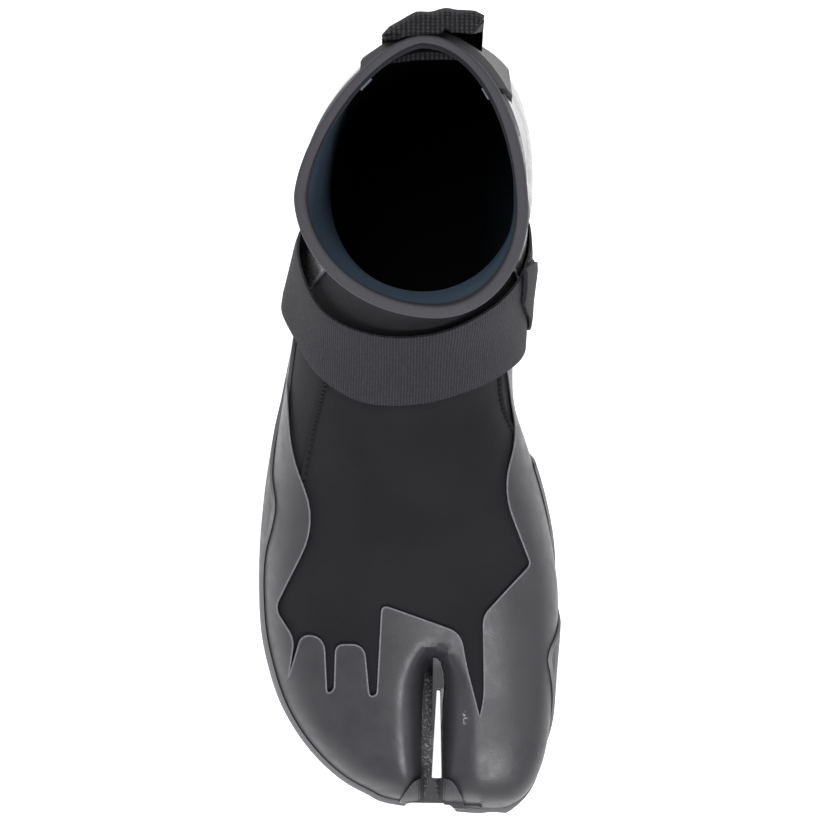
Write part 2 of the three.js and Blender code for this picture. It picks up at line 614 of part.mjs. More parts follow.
// The strap's path round the instep: turn is a share of a half-turn from the crest, low and high are the
// places of its front and back edges among the sections, and front and back are how far those edges stand
// off the form.
const STRAP_PATH = [
  { turn: -0.61, low: 15.75, high: 16.9, front: 2.4, back: 2 },
  { turn: -0.5, low: 15.75, high: 17, front: 6.8, back: 4.4 },
  { turn: -0.38, low: 15.4, high: 16.9, front: 4.2, back: 4.9 },
  { turn: -0.26, low: 14.75, high: 16.6, front: 3.2, back: 4.6 },
  { turn: -0.13, low: 14.22, high: 16.65, front: 2.4, back: 3.4 },
  { turn: 0, low: 14.27, high: 17, front: 2.2, back: 2.8 },
  { turn: 0.13, low: 14.62, high: 17.4, front: 2.4, back: 3 },
  { turn: 0.26, low: 14.95, high: 17.45, front: 3.6, back: 3 },
  { turn: 0.38, low: 15.15, high: 17.4, front: 4.8, back: 2.4 },
  { turn: 0.5, low: 15.3, high: 17.3, front: 4.5, back: 2 },
  { turn: 0.61, low: 15.4, high: 17.1, front: 2.4, back: 2 },
];
const TAB_PATH = [
  { turn: 0.32, low: 16.7, high: 17.8, front: 5.2, back: 4.7 },
  { turn: 0.38, low: 16.1, high: 17.4, front: 6, back: 4.65 },
  { turn: 0.5, low: 15.45, high: 16.7, front: 6.45, back: 4.95 },
  { turn: 0.59, low: 15.45, high: 16.6, front: 5.15, back: 4.4 },
];
const BAND_STEPS = 2; // between two rows of a path
const BAND_POINTS = 3; // across a band
function band(path, layer) {
  const rows = Array.from({ length: (path.length - 1) * BAND_STEPS + 1 }, (_, i) => i / BAND_STEPS);
  const value = (name, t) => {
    const i = Math.min(path.length - 2, Math.floor(t));
    return mix(path[i][name], path[i + 1][name], t - i);
  };
  return loft(
    rows.map((t) => {
      const face = (thickness) =>
        Array.from({ length: BAND_POINTS }, (_, j) => {
          const share = j / (BAND_POINTS - 1);
          const place = mix(value("low", t), value("high", t), share);
          const off = mix(value("front", t), value("back", t), share);
          return over(place, value("turn", t) * Math.PI, off + thickness);
        });
      return [...face(0), ...face(layer).reverse()];
    }),
  );
}

// The pull loop: a band that arches behind the patch and is open to both sides. rise is a share of the loop's
// height, out a share of its reach behind the collar.
const LOOP_PROFILE = [
  { rise: 0, out: 0.1 },
  { rise: 0.12, out: 0.62 },
  { rise: 0.36, out: 0.92 },
  { rise: 0.62, out: 1 },
  { rise: 0.86, out: 0.94 },
  { rise: 0.96, out: 0.72 },
  { rise: 1, out: 0.3 },
];
// Across the loop, from the little toe's side: the place as a share of half its width, and the reach there.
const LOOP_RUN = [
  { x: -1, reach: 0.14 },
  { x: -0.86, reach: 0.4 },
  { x: -0.6, reach: 0.62 },
  { x: -0.34, reach: 0.85 },
  { x: 0.1, reach: 0.97 },
  { x: 0.57, reach: 1 },
  { x: 0.82, reach: 0.9 },
  { x: 1, reach: 0.76 },
];
function loopForm(inset) {
  const back = COLLAR_MIDDLE + COLLAR_LENGTH / 2;
  const runs = LOOP_RUN.map(({ x, reach }) => ({ x: LOOP_X + (x * LOOP_WIDTH) / 2, reach }));
  if (inset) {
    runs.unshift({ ...runs[0], x: runs[0].x - OPEN_END });
    runs.push({ ...runs.at(-1), x: runs.at(-1).x + OPEN_END });
  }
  return loft(
    runs.map(({ x, reach }) => {
      const point = (y, rise) => new THREE.Vector3(x, y, mix(LOOP_BOTTOM + inset, LOOP_TOP - inset, rise));
      const arch = LOOP_PROFILE.map(({ rise, out }) => point(back + LOOP_REACH * out * reach - inset, rise));
      return [point(0, 0), ...arch, point(0, 1)];
    }),
  );
}
const makePullLoop = () => loopForm(0).subtract(loopForm(WEBBING)).subtract(form(LOOP_IN, OPEN_END));

const COLOURS = {
  neoprene: { color: 0x242428, roughness: 0.9, metalness: 0 },
  lining: { color: 0x2c3640, roughness: 0.95, metalness: 0 },
  panel: { color: 0x4a4a4e, roughness: 0.55, metalness: 0 },
  outsole: { color: 0x3a3a3e, roughness: 0.6, metalness: 0 },
  counter: { color: 0x5a5a5c, roughness: 0.4, metalness: 0 },
  webbing: { color: 0x35353a, roughness: 0.85, metalness: 0 },
};

function part(name, made, finish) {
  const mesh = made.getMesh();
  const geometry = new THREE.BufferGeometry();
  geometry.setAttribute("position", new THREE.BufferAttribute(new Float32Array(mesh.vertProperties), 3));
  geometry.setIndex(new THREE.BufferAttribute(new Uint32Array(mesh.triVerts), 1));
  geometry.computeVertexNormals();
  const node = new THREE.Mesh(geometry, new THREE.MeshStandardMaterial(COLOURS[finish]));
  node.name = name;
  return node;
}

const bootie = new THREE.Group();
bootie.add(
  part("upper", makeUpper(), "neoprene"),
  part("insole", makeInsole(), "lining"),
  part("outsole", makeOutsole(), "outsole"),
  part("toe_rand", makeToeRand(), "panel"),
  part("heel_counter", makeHeelCounter(), "counter"),
  part("back_patch", makeBackPatch(), "counter"),
  part("strap", band(STRAP_PATH, WEBBING), "webbing"),
  part("strap_tab", band(TAB_PATH, TAB_THICKNESS), "webbing"),
  part("pull_loop", makePullLoop(), "webbing"),
);

export default bootie;
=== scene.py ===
"""A split-toe surf bootie for the right foot, dressed over its solid model.

The foot's form is worked out once, by the class Last, from the boot's own sizes. Every skin of neoprene and
rubber is a shell at its own distance from that form, so the pieces lie on each other as on the real boot.
Sizes are in millimetres, and become metres where a mesh is made. +Z is up, the toes point to -Y, and +X is
the big toe's side.
"""

from __future__ import annotations

import json
import logging
import math
from dataclasses import dataclass, field
from enum import Enum
from typing import Any, Iterable, Sequence

import bpy
import numpy as np
from mathutils import Matrix, Vector
from mathutils.bvhtree import BVHTree

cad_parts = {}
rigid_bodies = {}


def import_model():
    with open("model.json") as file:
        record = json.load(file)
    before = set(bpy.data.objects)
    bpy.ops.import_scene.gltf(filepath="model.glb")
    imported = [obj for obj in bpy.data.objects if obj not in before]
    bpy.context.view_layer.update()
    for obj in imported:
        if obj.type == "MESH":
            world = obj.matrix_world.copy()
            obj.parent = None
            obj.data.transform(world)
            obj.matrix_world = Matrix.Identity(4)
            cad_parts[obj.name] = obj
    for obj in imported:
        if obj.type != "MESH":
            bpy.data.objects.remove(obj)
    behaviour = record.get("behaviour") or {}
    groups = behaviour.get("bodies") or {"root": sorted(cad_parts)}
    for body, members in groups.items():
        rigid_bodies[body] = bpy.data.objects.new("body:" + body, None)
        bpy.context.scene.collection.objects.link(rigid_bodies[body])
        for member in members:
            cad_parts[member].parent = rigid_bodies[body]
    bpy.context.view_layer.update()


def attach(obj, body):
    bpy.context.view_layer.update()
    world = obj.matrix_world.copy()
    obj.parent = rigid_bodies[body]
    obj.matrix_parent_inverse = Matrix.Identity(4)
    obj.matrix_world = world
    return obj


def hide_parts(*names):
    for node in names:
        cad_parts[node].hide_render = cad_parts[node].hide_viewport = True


LOG = logging.getLogger("bootie")
MM = 0.001
FAR = 600.0
WHITE = (1.0, 1.0, 1.0, 1.0)

Array = np.ndarray


class View(Enum):
    """The plane that an outline is drawn in, before it is pulled out into a prism."""

    PLAN = "plan"
    SIDE = "side"
    FRONT = "front"


class Cut(Enum):
    """What is done with the second of two solids."""

    REMOVE = "DIFFERENCE"
    KEEP = "INTERSECT"
    JOIN = "UNION"


# The foot's form


@dataclass(frozen=True)
class FootSection:
    """A section from the toes to the instep, in shares of the sole's length, ball's width and a height."""

    at: float
    lateral: float
    medial: float
    ridge: float
    top: float
    widest: float
    crown: float
    corner: float


@dataclass(frozen=True)
class FanSection:
    """A section from the arch round the heel to the ankle, fanned about the instep."""

    base: float
    rise: float
    front: float
    top: float
    lateral: float
    medial: float
    keel: float
    widest: float
    outer: float
    inner: float


@dataclass(frozen=True)
class ShaftSection:
    """A section of the shaft, in shares of the collar's length, height and width."""

    back: float
    rise: float
    front: float
    top: float
    lateral: float
    medial: float
    keel: float
    ridge: float
    widest: float
    outer: float
    inner: float


TOE_SECTIONS = (
    FootSection(0.0126, 0.235, 0.315, 0.28, 0.46, 0.5, 2, 2),
    FootSection(0.0162, 0.12, 0.33, 0.26, 0.58, 0.46, 2.1, 2.2),
    FootSection(0.0234, -0.045, 0.352, 0.24, 0.69, 0.42, 2.2, 2.6),
    FootSection(0.0342, -0.11, 0.378, 0.23, 0.77, 0.4, 2.2, 2.8),
    FootSection(0.0504, -0.185, 0.4, 0.22, 0.838, 0.38, 2.2, 3),
    FootSection(0.0755, -0.258, 0.42, 0.21, 0.897, 0.37, 2.2, 3.2),
    FootSection(0.108, -0.325, 0.432, 0.2, 0.946, 0.36, 2.2, 3.3),
    FootSection(0.1475, -0.381, 0.438, 0.19, 1, 0.35, 2.2, 3.4),
)
BALL_SECTIONS = (
    FootSection(0.191, -0.42, 0.446, 0.17, 0.556, 0.34, 2.2, 3.5),
    FootSection(0.237, -0.447, 0.457, 0.15, 0.604, 0.33, 2.2, 3.6),
    FootSection(0.291, -0.46, 0.461, 0.125, 0.667, 0.31, 2.2, 3.6),
    FootSection(0.3525, -0.462, 0.443, 0.095, 0.736, 0.3, 2.1, 3.6),
    FootSection(0.417, -0.452, 0.411, 0.065, 0.813, 0.29, 2, 3.6),
    FootSection(0.478, -0.432, 0.36, 0.045, 0.903, 0.29, 2, 3.6),
)
FAN_SECTIONS = (
    FanSection(0.324, 0, 0.356, 0.477, -0.585, 0.455, -0.06, 0.3, 3.6, 3.6),
    FanSection(0.245, 0, 0.322, 0.54, -0.55, 0.445, -0.05, 0.32, 3.5, 3.5),
    FanSection(0.151, 0, 0.291, 0.607, -0.51, 0.462, -0.02, 0.35, 3.4, 3.4),
    FanSection(0.05, 0, 0.27, 0.667, -0.476, 0.5, 0.01, 0.38, 3.1, 3.1),
    FanSection(-0.036, 0, 0.256, 0.717, -0.45, 0.51, 0.035, 0.41, 2.8, 2.8),
    FanSection(-0.0935, 0.02, 0.25, 0.75, -0.44, 0.515, 0.055, 0.48, 2.55, 2.6),
    FanSection(-0.1215, 0.1, 0.248, 0.777, -0.425, 0.515, 0.08, 0.53, 2.45, 2.5),
    FanSection(-0.1275, 0.21, 0.247, 0.8, -0.427, 0.513, 0.085, 0.57, 2.4, 2.45),
    FanSection(-0.1195, 0.345, 0.248, 0.827, -0.435, 0.508, 0.085, 0.6, 2.35, 2.45),
    FanSection(-0.1015, 0.5, 0.254, 0.86, -0.45, 0.496, 0.08, 0.61, 2.2, 2.45),
)
SHAFT_SECTIONS = (
    ShaftSection(0.589, 0.66, 0.449, 0.9, -0.495, 0.492, 0.062, 0.055, 0.61, 2, 2.4),
    ShaftSection(0.537, 0.83, 0.478, 0.947, -0.511, 0.495, 0.038, 0.08, 0.6, 1.7, 2.25),
    ShaftSection(0.5, 1, 0.5, 1, -0.526, 0.492, 0.015, 0.1, 0.588, 1.46, 2.07),
)
ANKLE_CROWN = 2.0

# The shoulders of the split: how far out, in halves of its width, and at what share of the height.
SHOULDER_OUT = (0.9, 1.1, 1.42, 1.85, 2.45, 3.35, 5.0)
SHOULDER_LEVEL = (0.3, 0.52, 0.74, 0.87, 0.95, 1.02, 1.2)
# Along the split: its width, and the level of its floor towards the closed end.
SPLIT_AT = (-0.25, 0.64, 0.78, 0.86, 0.91, 0.96, 1.0, 1.06)
SPLIT_NARROWS = (1, 0.94, 0.86, 0.72, 0.58, 0.42, 0.24, 0.05)
SPLIT_FLOOR = (0.3, 0.3, 0.3, 0.3, 0.45, 0.76, 0.98, 1.2)


@dataclass
class Last:
    """The foot's form: the outside of the neoprene, and anything at a distance from it."""

    sole_length: float = 278
    heel_seat: float = 37
    ball_width: float = 110
    ankle_width: float = 77
    collar_width: float = 74
    collar_length: float = 93
    collar_height: float = 150
    toe_height: float = 37
    instep_height: float = 72
    toe_spring: float = 5
    arch_rise: float = 2.5
    sole_thickness: float = 4.5
    gap: float = 0.3
    rubber: float = 1.2
    split_x: float = 8.8
    split_width: float = 7.4
    split_length: float = 58
    blend: float = 2.4  # how softly a shoulder runs into the top of the foot
    rows: Array = field(init=False, repr=False)

    def __post_init__(self) -> None:
        """Turns the sections into one table of the form's rows."""
        table = [self._foot(s, self.toe_height) for s in TOE_SECTIONS]
        table += [self._foot(s, self.instep_height) for s in BALL_SECTIONS]
        table += [self._fan(s) for s in FAN_SECTIONS]
        table += [self._shaft(s) for s in SHAFT_SECTIONS]
        self.rows = np.array(table, float)
        crest = self._columns(np.linspace(0, self.last_foot_row, 400))
        self._crest_y, self._crest_z = crest[:, 4], crest[:, 5]

    @property
    def toe_y(self) -> float:
        """The toe's tip."""
        return self.heel_seat - self.sole_length

    @property
    def base_z(self) -> float:
        """The neoprene's underside, over the floor."""
        return self.sole_thickness + self.gap

    @property
    def panel_out(self) -> float:
        """A rubber panel's outside, over the neoprene."""
        return self.gap + self.rubber

    @property
    def last_row(self) -> int:
        """The collar's place."""
        return len(self.rows) - 1

    @property
    def last_foot_row(self) -> int:
        """The place of the last upright section, at the instep."""
        return len(TOE_SECTIONS) + len(BALL_SECTIONS) - 1

    @property
    def collar_middle(self) -> float:
        """The middle of the collar, lengthwise."""
        return -0.1115 * self.sole_length

    def along(self, share: Any) -> Any:
        """Y at a share of the sole's length from the toe's tip."""
        return self.toe_y + share * self.sole_length

    def across(self, share: Any) -> Any:
        """X at a share of the ball's width."""
        return share * self.ball_width

    def lift(self, y: Any) -> Array:
        """How far the sole's underside is off the floor.

        Args:
            y: Lengthwise places.

        Returns:
            The lift at each: toe spring in front, a low arch between ball and heel.
        """
        share = (np.asarray(y, float) - self.toe_y) / self.sole_length
        spring = self.toe_spring * np.clip((0.2 - share) / 0.2, 0, 1) ** 1.6
        arch = np.clip((share - 0.47) / (0.76 - 0.47), 0, 1)
        return spring + self.arch_rise * np.sin(np.pi * arch) ** 2

    def crest(self, y: Any) -> Array:
        """The height of the foot's ridge at some lengthwise places."""
        return np.interp(np.asarray(y, float), self._crest_y, self._crest_z)

    def _foot(self, s: FootSection, height: float) -> tuple[float, ...]:
        """A row of the form from an upright section and the height that its top is a share of."""
        y = self.along(s.at)
        tip = 3 * max(0.0, 1 - (s.at - TOE_SECTIONS[0].at) / 0.02) ** 3
        base_z = self.base_z + float(self.lift(y)) + tip
        middle = self.across((s.lateral + s.medial) / 2)
        sides = (self.across(s.lateral), self.across(s.medial))
        top = (self.across(s.ridge), y, s.top * height)
        return (middle, y, base_z, *top, *sides, s.widest, s.crown, s.corner, s.corner)

    def _fan(self, s: FanSection) -> tuple[float, ...]:
        """A row of the form from a section round the heel."""
        y = -s.base * self.sole_length
        rise = self.base_z + float(self.lift(y)) + s.rise * (self.collar_height - self.base_z)
        top = (0.04 * self.collar_width, -s.front * self.sole_length, s.top * self.collar_height)
        sides = (s.lateral * self.ankle_width, s.medial * self.ankle_width)
        return (s.keel * self.ankle_width, y, rise, *top, *sides, s.widest, ANKLE_CROWN, s.outer, s.inner)

    def _shaft(self, s: ShaftSection) -> tuple[float, ...]:
        """A row of the form from a section of the shaft."""
        base_y = self.collar_middle + s.back * self.collar_length
        base_z = self.base_z + s.rise * (self.collar_height - self.base_z)
        top_y = self.collar_middle - s.front * self.collar_length
        top = (s.ridge * self.collar_width, top_y, s.top * self.collar_height)
        sides = (s.lateral * self.collar_width, s.medial * self.collar_width)
        keel = s.keel * self.collar_width
        return (keel, base_y, base_z, *top, *sides, s.widest, ANKLE_CROWN, s.outer, s.inner)

    def _columns(self, place: Array) -> Array:
        """Smooth curves through all columns of the rows, at places between them."""
        place = np.asarray(place, float)
        i = np.clip(np.floor(place).astype(int), 0, self.last_row - 1)
        t = (place - i)[..., None]
        a, b, c, d = (self.rows[np.clip(i + k, 0, self.last_row)] for k in (-1, 0, 1, 2))
        return b + 0.5 * t * (c - a + t * (2 * a - 5 * b + 4 * c - d + t * (3 * (b - c) + d - a)))

    def surface(self, place: Any, turn: Any) -> Array:
        """Points of the neoprene's outside.

        Args:
            place: From 0 at the toes to last_row at the collar.
            turn: From 0 at the crest over the big toe's side round to a full turn.

        Returns:
            The points, in millimetres.
        """
        place, turn = np.broadcast_arrays(np.asarray(place, float), np.asarray(turn, float))
        v = self._columns(place)
        base, top = v[..., 0:3], v[..., 3:6]
        lateral, medial, widest, crown, outer, inner = (v[..., k] for k in range(6, 12))
        c, s = np.cos(turn), np.sin(turn)
        power = 2 / np.where(c > 0, crown, np.where(s > 0, inner, outer))
        bulge = np.abs(c) ** power
        height = np.where(c > 0, widest + (1 - widest) * bulge, widest - widest * bulge)
        point = base + (top - base) * height[..., None]
        spine = base[..., 0] + (top[..., 0] - base[..., 0]) * widest
        point[..., 0] += (np.where(s > 0, medial, lateral) - spine) * np.abs(s) ** power
        return point

    def normal(self, place: Any, turn: Any) -> Array:
        """Outward directions of the form's surface."""
        step = 0.02
        place, turn = np.broadcast_arrays(np.asarray(place, float), np.asarray(turn, float))
        before, after = np.maximum(place - step, 0), np.minimum(place + step, self.last_row)
        lengthwise = self.surface(after, turn) - self.surface(before, turn)
        round_it = self.surface(place, turn + step) - self.surface(place, turn - step)
        out = np.cross(round_it, lengthwise)
        return out / np.maximum(np.linalg.norm(out, axis=-1, keepdims=True), 1e-9)

    def over(self, place: Any, turn: Any, distance: Any) -> Array:
        """Points at a distance over the form."""
        return self.surface(place, turn) + self.normal(place, turn) * np.asarray(distance, float)[..., None]

    def settle(self, points: Array, distance: float) -> Array:
        """Lets the top of the foot down into the soft shoulders of the split.

        Args:
            points: Points of a skin.
            distance: That skin's distance over the form.

        Returns:
            The points, lowered where the split's shoulders are.
        """
        x, y, z = points[..., 0], points[..., 1], points[..., 2]
        inset = self.panel_out - distance
        share = (y - inset - self.toe_y) / self.split_length
        half = np.interp(share, SPLIT_AT, SPLIT_NARROWS) * self.split_width / 2
        out = (np.abs(x - self.split_x) - inset) / np.maximum(half, 0.05)
        level = np.interp(out, SHOULDER_OUT, SHOULDER_LEVEL)
        level = np.maximum(level, np.interp(share, SPLIT_AT, SPLIT_FLOOR))
        low = self.base_z + self.lift(y)
        valley = low + level * (self.crest(y) - low) - inset
        valley = np.where((share > SPLIT_AT[-1]) | (out > SHOULDER_OUT[-1]), z + 2 * self.blend, valley)
        near = np.maximum(self.blend - np.abs(z - valley), 0) / self.blend
        settled = points.copy()
        settled[..., 2] = np.minimum(z, valley) - near**2 * self.blend / 4
        return settled


# Making meshes


def deselect() -> None:
    """Leaves nothing selected, so that an operator acts on its own piece alone."""
    if bpy.context.object and bpy.context.object.mode != "OBJECT":
        bpy.ops.object.mode_set(mode="OBJECT")
    bpy.ops.object.select_all(action="DESELECT")


def take(piece: bpy.types.Object) -> None:
    """Makes a piece the only one selected, and active."""
    deselect()
    piece.select_set(True)
    bpy.context.view_layer.objects.active = piece


def named(name: str) -> bpy.types.Object:
    """Names the active object and its mesh, and returns it."""
    piece = bpy.context.object
    piece.name = name
    piece.data.name = name
    return piece


def sheet(name: str, points: Array, wrap: bool = False, capped: bool = False) -> bpy.types.Object:
    """Shapes a grid by an array of points.

    Args:
        name: The piece's name.
        points: Rows by columns by three, in millimetres.
        wrap: Whether the last column meets the first.
        capped: Whether the two open ends are closed.

    Returns:
        The piece, its faces outwards where it is closed.
    """
    if wrap:
        points = np.concatenate([points, points[:, :1]], axis=1)
    count, columns = points.shape[:2]
    deselect()
    bpy.ops.mesh.primitive_grid_add(x_subdivisions=columns - 1, y_subdivisions=count - 1, size=1)
    piece = named(name)
    grid = np.empty(len(piece.data.vertices) * 3)
    piece.data.vertices.foreach_get("co", grid)
    grid = grid.reshape(-1, 3)
    column = np.rint((grid[:, 0] + 0.5) * (columns - 1)).astype(int)
    row = np.rint((grid[:, 1] + 0.5) * (count - 1)).astype(int)
    piece.data.vertices.foreach_set("co", (points[row, column] * MM).ravel())
    bpy.ops.object.mode_set(mode="EDIT")
    bpy.ops.mesh.select_all(action="SELECT")
    if wrap:
        bpy.ops.mesh.remove_doubles(threshold=1e-7)
    if capped:
        bpy.ops.mesh.fill_holes(sides=0)
        bpy.ops.mesh.select_all(action="DESELECT")
        bpy.ops.mesh.select_face_by_sides(number=4, type="GREATER")
        bpy.ops.mesh.poke()
        bpy.ops.mesh.select_all(action="SELECT")
        bpy.ops.mesh.normals_make_consistent(inside=False)
    bpy.ops.object.mode_set(mode="OBJECT")
    return piece


def rounded(corners: Sequence[tuple[float, float, float]], radius: float = 5.0, steps: int = 6) -> Array:
    """An outline through corners, each rounded by its own share of a radius.

    Args:
        corners: Two coordinates and how soft the corner is.
        radius: What a softness of 1 rounds by.
        steps: How many pieces a rounded corner has.

    Returns:
        The outline's points.
    """
    outline: list[Array] = []
    count = len(corners)
    for i, (x, y, soft) in enumerate(corners):
        here = np.array([x, y])
        if not soft:
            outline.append(here)
            continue
        ends = []
        for other in (corners[i - 1], corners[(i + 1) % count]):
            away = np.array(other[:2]) - here
            reach = np.linalg.norm(away)
            ends.append(here + away / reach * min(soft * radius, reach * 0.48))
        for t in np.linspace(0, 1, steps + 1):
            outline.append((1 - t) ** 2 * ends[0] + 2 * t * (1 - t) * here + t**2 * ends[1])
    return np.array(outline)


def prism(name: str, outline: Array, view: View, low: float = -FAR, high: float = FAR) -> bpy.types.Object:
    """Pulls an outline out into a solid.

    Args:
        name: The piece's name.
        outline: Points in the view's plane: X and Y in plan, Y and Z from the side, X and Z from the front.
        view: The plane of the outline.
        low: Where the solid starts along the third axis.
        high: Where it ends.

    Returns:
        The solid.
    """
    order = {View.PLAN: (0, 1, 2), View.SIDE: (1, 2, 0), View.FRONT: (0, 2, 1)}[view]
    flat = np.zeros((len(outline), 3))
    flat[:, order[0]], flat[:, order[1]], flat[:, order[2]] = outline[:, 0], outline[:, 1], low
    pull = [0.0, 0.0, 0.0]
    pull[order[2]] = (high - low) * MM
    deselect()
    bpy.ops.mesh.primitive_circle_add(vertices=len(outline), radius=1, fill_type="NGON")
    piece = named(name)
    ring = np.empty(len(outline) * 3)
    piece.data.vertices.foreach_get("co", ring)
    ring = ring.reshape(-1, 3)
    turn = np.arctan2(ring[:, 1], ring[:, 0])
    place = np.empty(len(outline), int)
    place[np.argsort(turn)] = np.arange(len(outline))
    piece.data.vertices.foreach_set("co", (flat[place] * MM).ravel())
    bpy.ops.object.mode_set(mode="EDIT")
    bpy.ops.mesh.select_all(action="SELECT")
    bpy.ops.mesh.extrude_region_move(TRANSFORM_OT_translate={"value": pull})
    bpy.ops.mesh.select_all(action="SELECT")
    bpy.ops.mesh.normals_make_consistent(inside=False)
    bpy.ops.object.mode_set(mode="OBJECT")
    return piece


def block(name: str, x: Sequence[float], y: Sequence[float], z: Sequence[float]) -> bpy.types.Object:
    """A plain cutting block between two planes each way."""
    outline = np.array([[x[0], y[0]], [x[1], y[0]], [x[1], y[1]], [x[0], y[1]]])
    return prism(name, outline, View.PLAN, z[0], z[1])


def cut(piece: bpy.types.Object, tool: bpy.types.Object, how: Cut, keep: bool = False) -> bpy.types.Object:
    """Cuts or joins two solids.

    Args:
        piece: The solid that is changed.
        tool: The other solid.
        how: What is done with it.
        keep: Whether the tool stays for another use.

    Returns:
        The changed piece.
    """
    take(piece)
    modifier = piece.modifiers.new("cut", "BOOLEAN")
    modifier.operation = how.value
    modifier.object = tool
    modifier.solver = "MANIFOLD"
    before = len(piece.data.vertices)
    bpy.ops.object.modifier_apply(modifier=modifier.name)
    if not len(piece.data.vertices):
        raise RuntimeError(f"{piece.name}: nothing is left after {tool.name}")
    LOG.debug("%s: %d to %d vertices", piece.name, before, len(piece.data.vertices))
    if not keep:
        bpy.data.objects.remove(tool)
    return piece


def smooth(piece: bpy.types.Object, angle: float = 38.0) -> bpy.types.Object:
    """Shades a piece smooth, up to an angle between its faces."""
    take(piece)
    bpy.ops.object.shade_smooth_by_angle(angle=math.radians(angle))
    return piece


def points_of(piece: bpy.types.Object) -> Array:
    """A piece's vertices in millimetres."""
    flat = np.empty(len(piece.data.vertices) * 3)
    piece.data.vertices.foreach_get("co", flat)
    return flat.reshape(-1, 3) / MM


def mark(piece: bpy.types.Object, name: str, values: Array) -> None:
    """Stores a number for each vertex, for the piece's material to read."""
    layer = piece.data.attributes.new(name, "FLOAT", "POINT")
    layer.data.foreach_set("value", np.asarray(values, np.float32))


def away_from(points: Array, line: Array) -> Array:
    """Each point's distance to a line of short stretches, in the coordinates given."""
    start, end = line[:-1], line[1:]
    run = end - start
    length = np.maximum((run**2).sum(axis=1), 1e-9)
    nearest = np.full(len(points), FAR)
    for a, r, n in zip(start, run, length):
        t = np.clip(((points - a) @ r) / n, 0, 1)
        nearest = np.minimum(nearest, np.linalg.norm(points - (a + t[:, None] * r), axis=1))
    return nearest


def tube(name: str, path: Array, radius: float, sides: int = 8, flat: float = 1.0) -> bpy.types.Object:
    """A round or flattened bead along a path.

    Args:
        name: The piece's name.
        path: Points in millimetres.
        radius: The bead's radius in millimetres.
        sides: Faces round it.
        flat: The height as a share of the width.

    Returns:
        The bead as a mesh, closed at both ends.
    """
    forward = np.gradient(path, axis=0)
    forward /= np.maximum(np.linalg.norm(forward, axis=1, keepdims=True), 1e-9)
    side = np.cross(forward, np.array([0.0, 0.0, 1.0]))
    side /= np.maximum(np.linalg.norm(side, axis=1, keepdims=True), 1e-9)
    up = np.cross(side, forward)
    turn = np.linspace(0, 2 * np.pi, sides, endpoint=False)
    ring = side[:, None] * np.cos(turn)[None, :, None] + flat * up[:, None] * np.sin(turn)[None, :, None]
    return smooth(sheet(name, path[:, None] + radius * ring, wrap=True, capped=True), 60)


def keep_piece(
    piece: bpy.types.Object,
    finish: bpy.types.Material | Sequence[bpy.types.Material],
    replaces: Iterable[str] = (),
) -> bpy.types.Object:
    """Dresses a piece and lets it ride on the boot.

    Args:
        piece: The finished mesh.
        finish: Its material, or one for each of its slots.
        replaces: The solid nodes that it stands for.

    Returns:
        The piece.
    """
    piece.data.materials.clear()
    for one in finish if isinstance(finish, (list, tuple)) else [finish]:
        piece.data.materials.append(one)
    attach(piece, "root")
    for node in replaces:
        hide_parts(node)
    return piece


# The boot's pieces


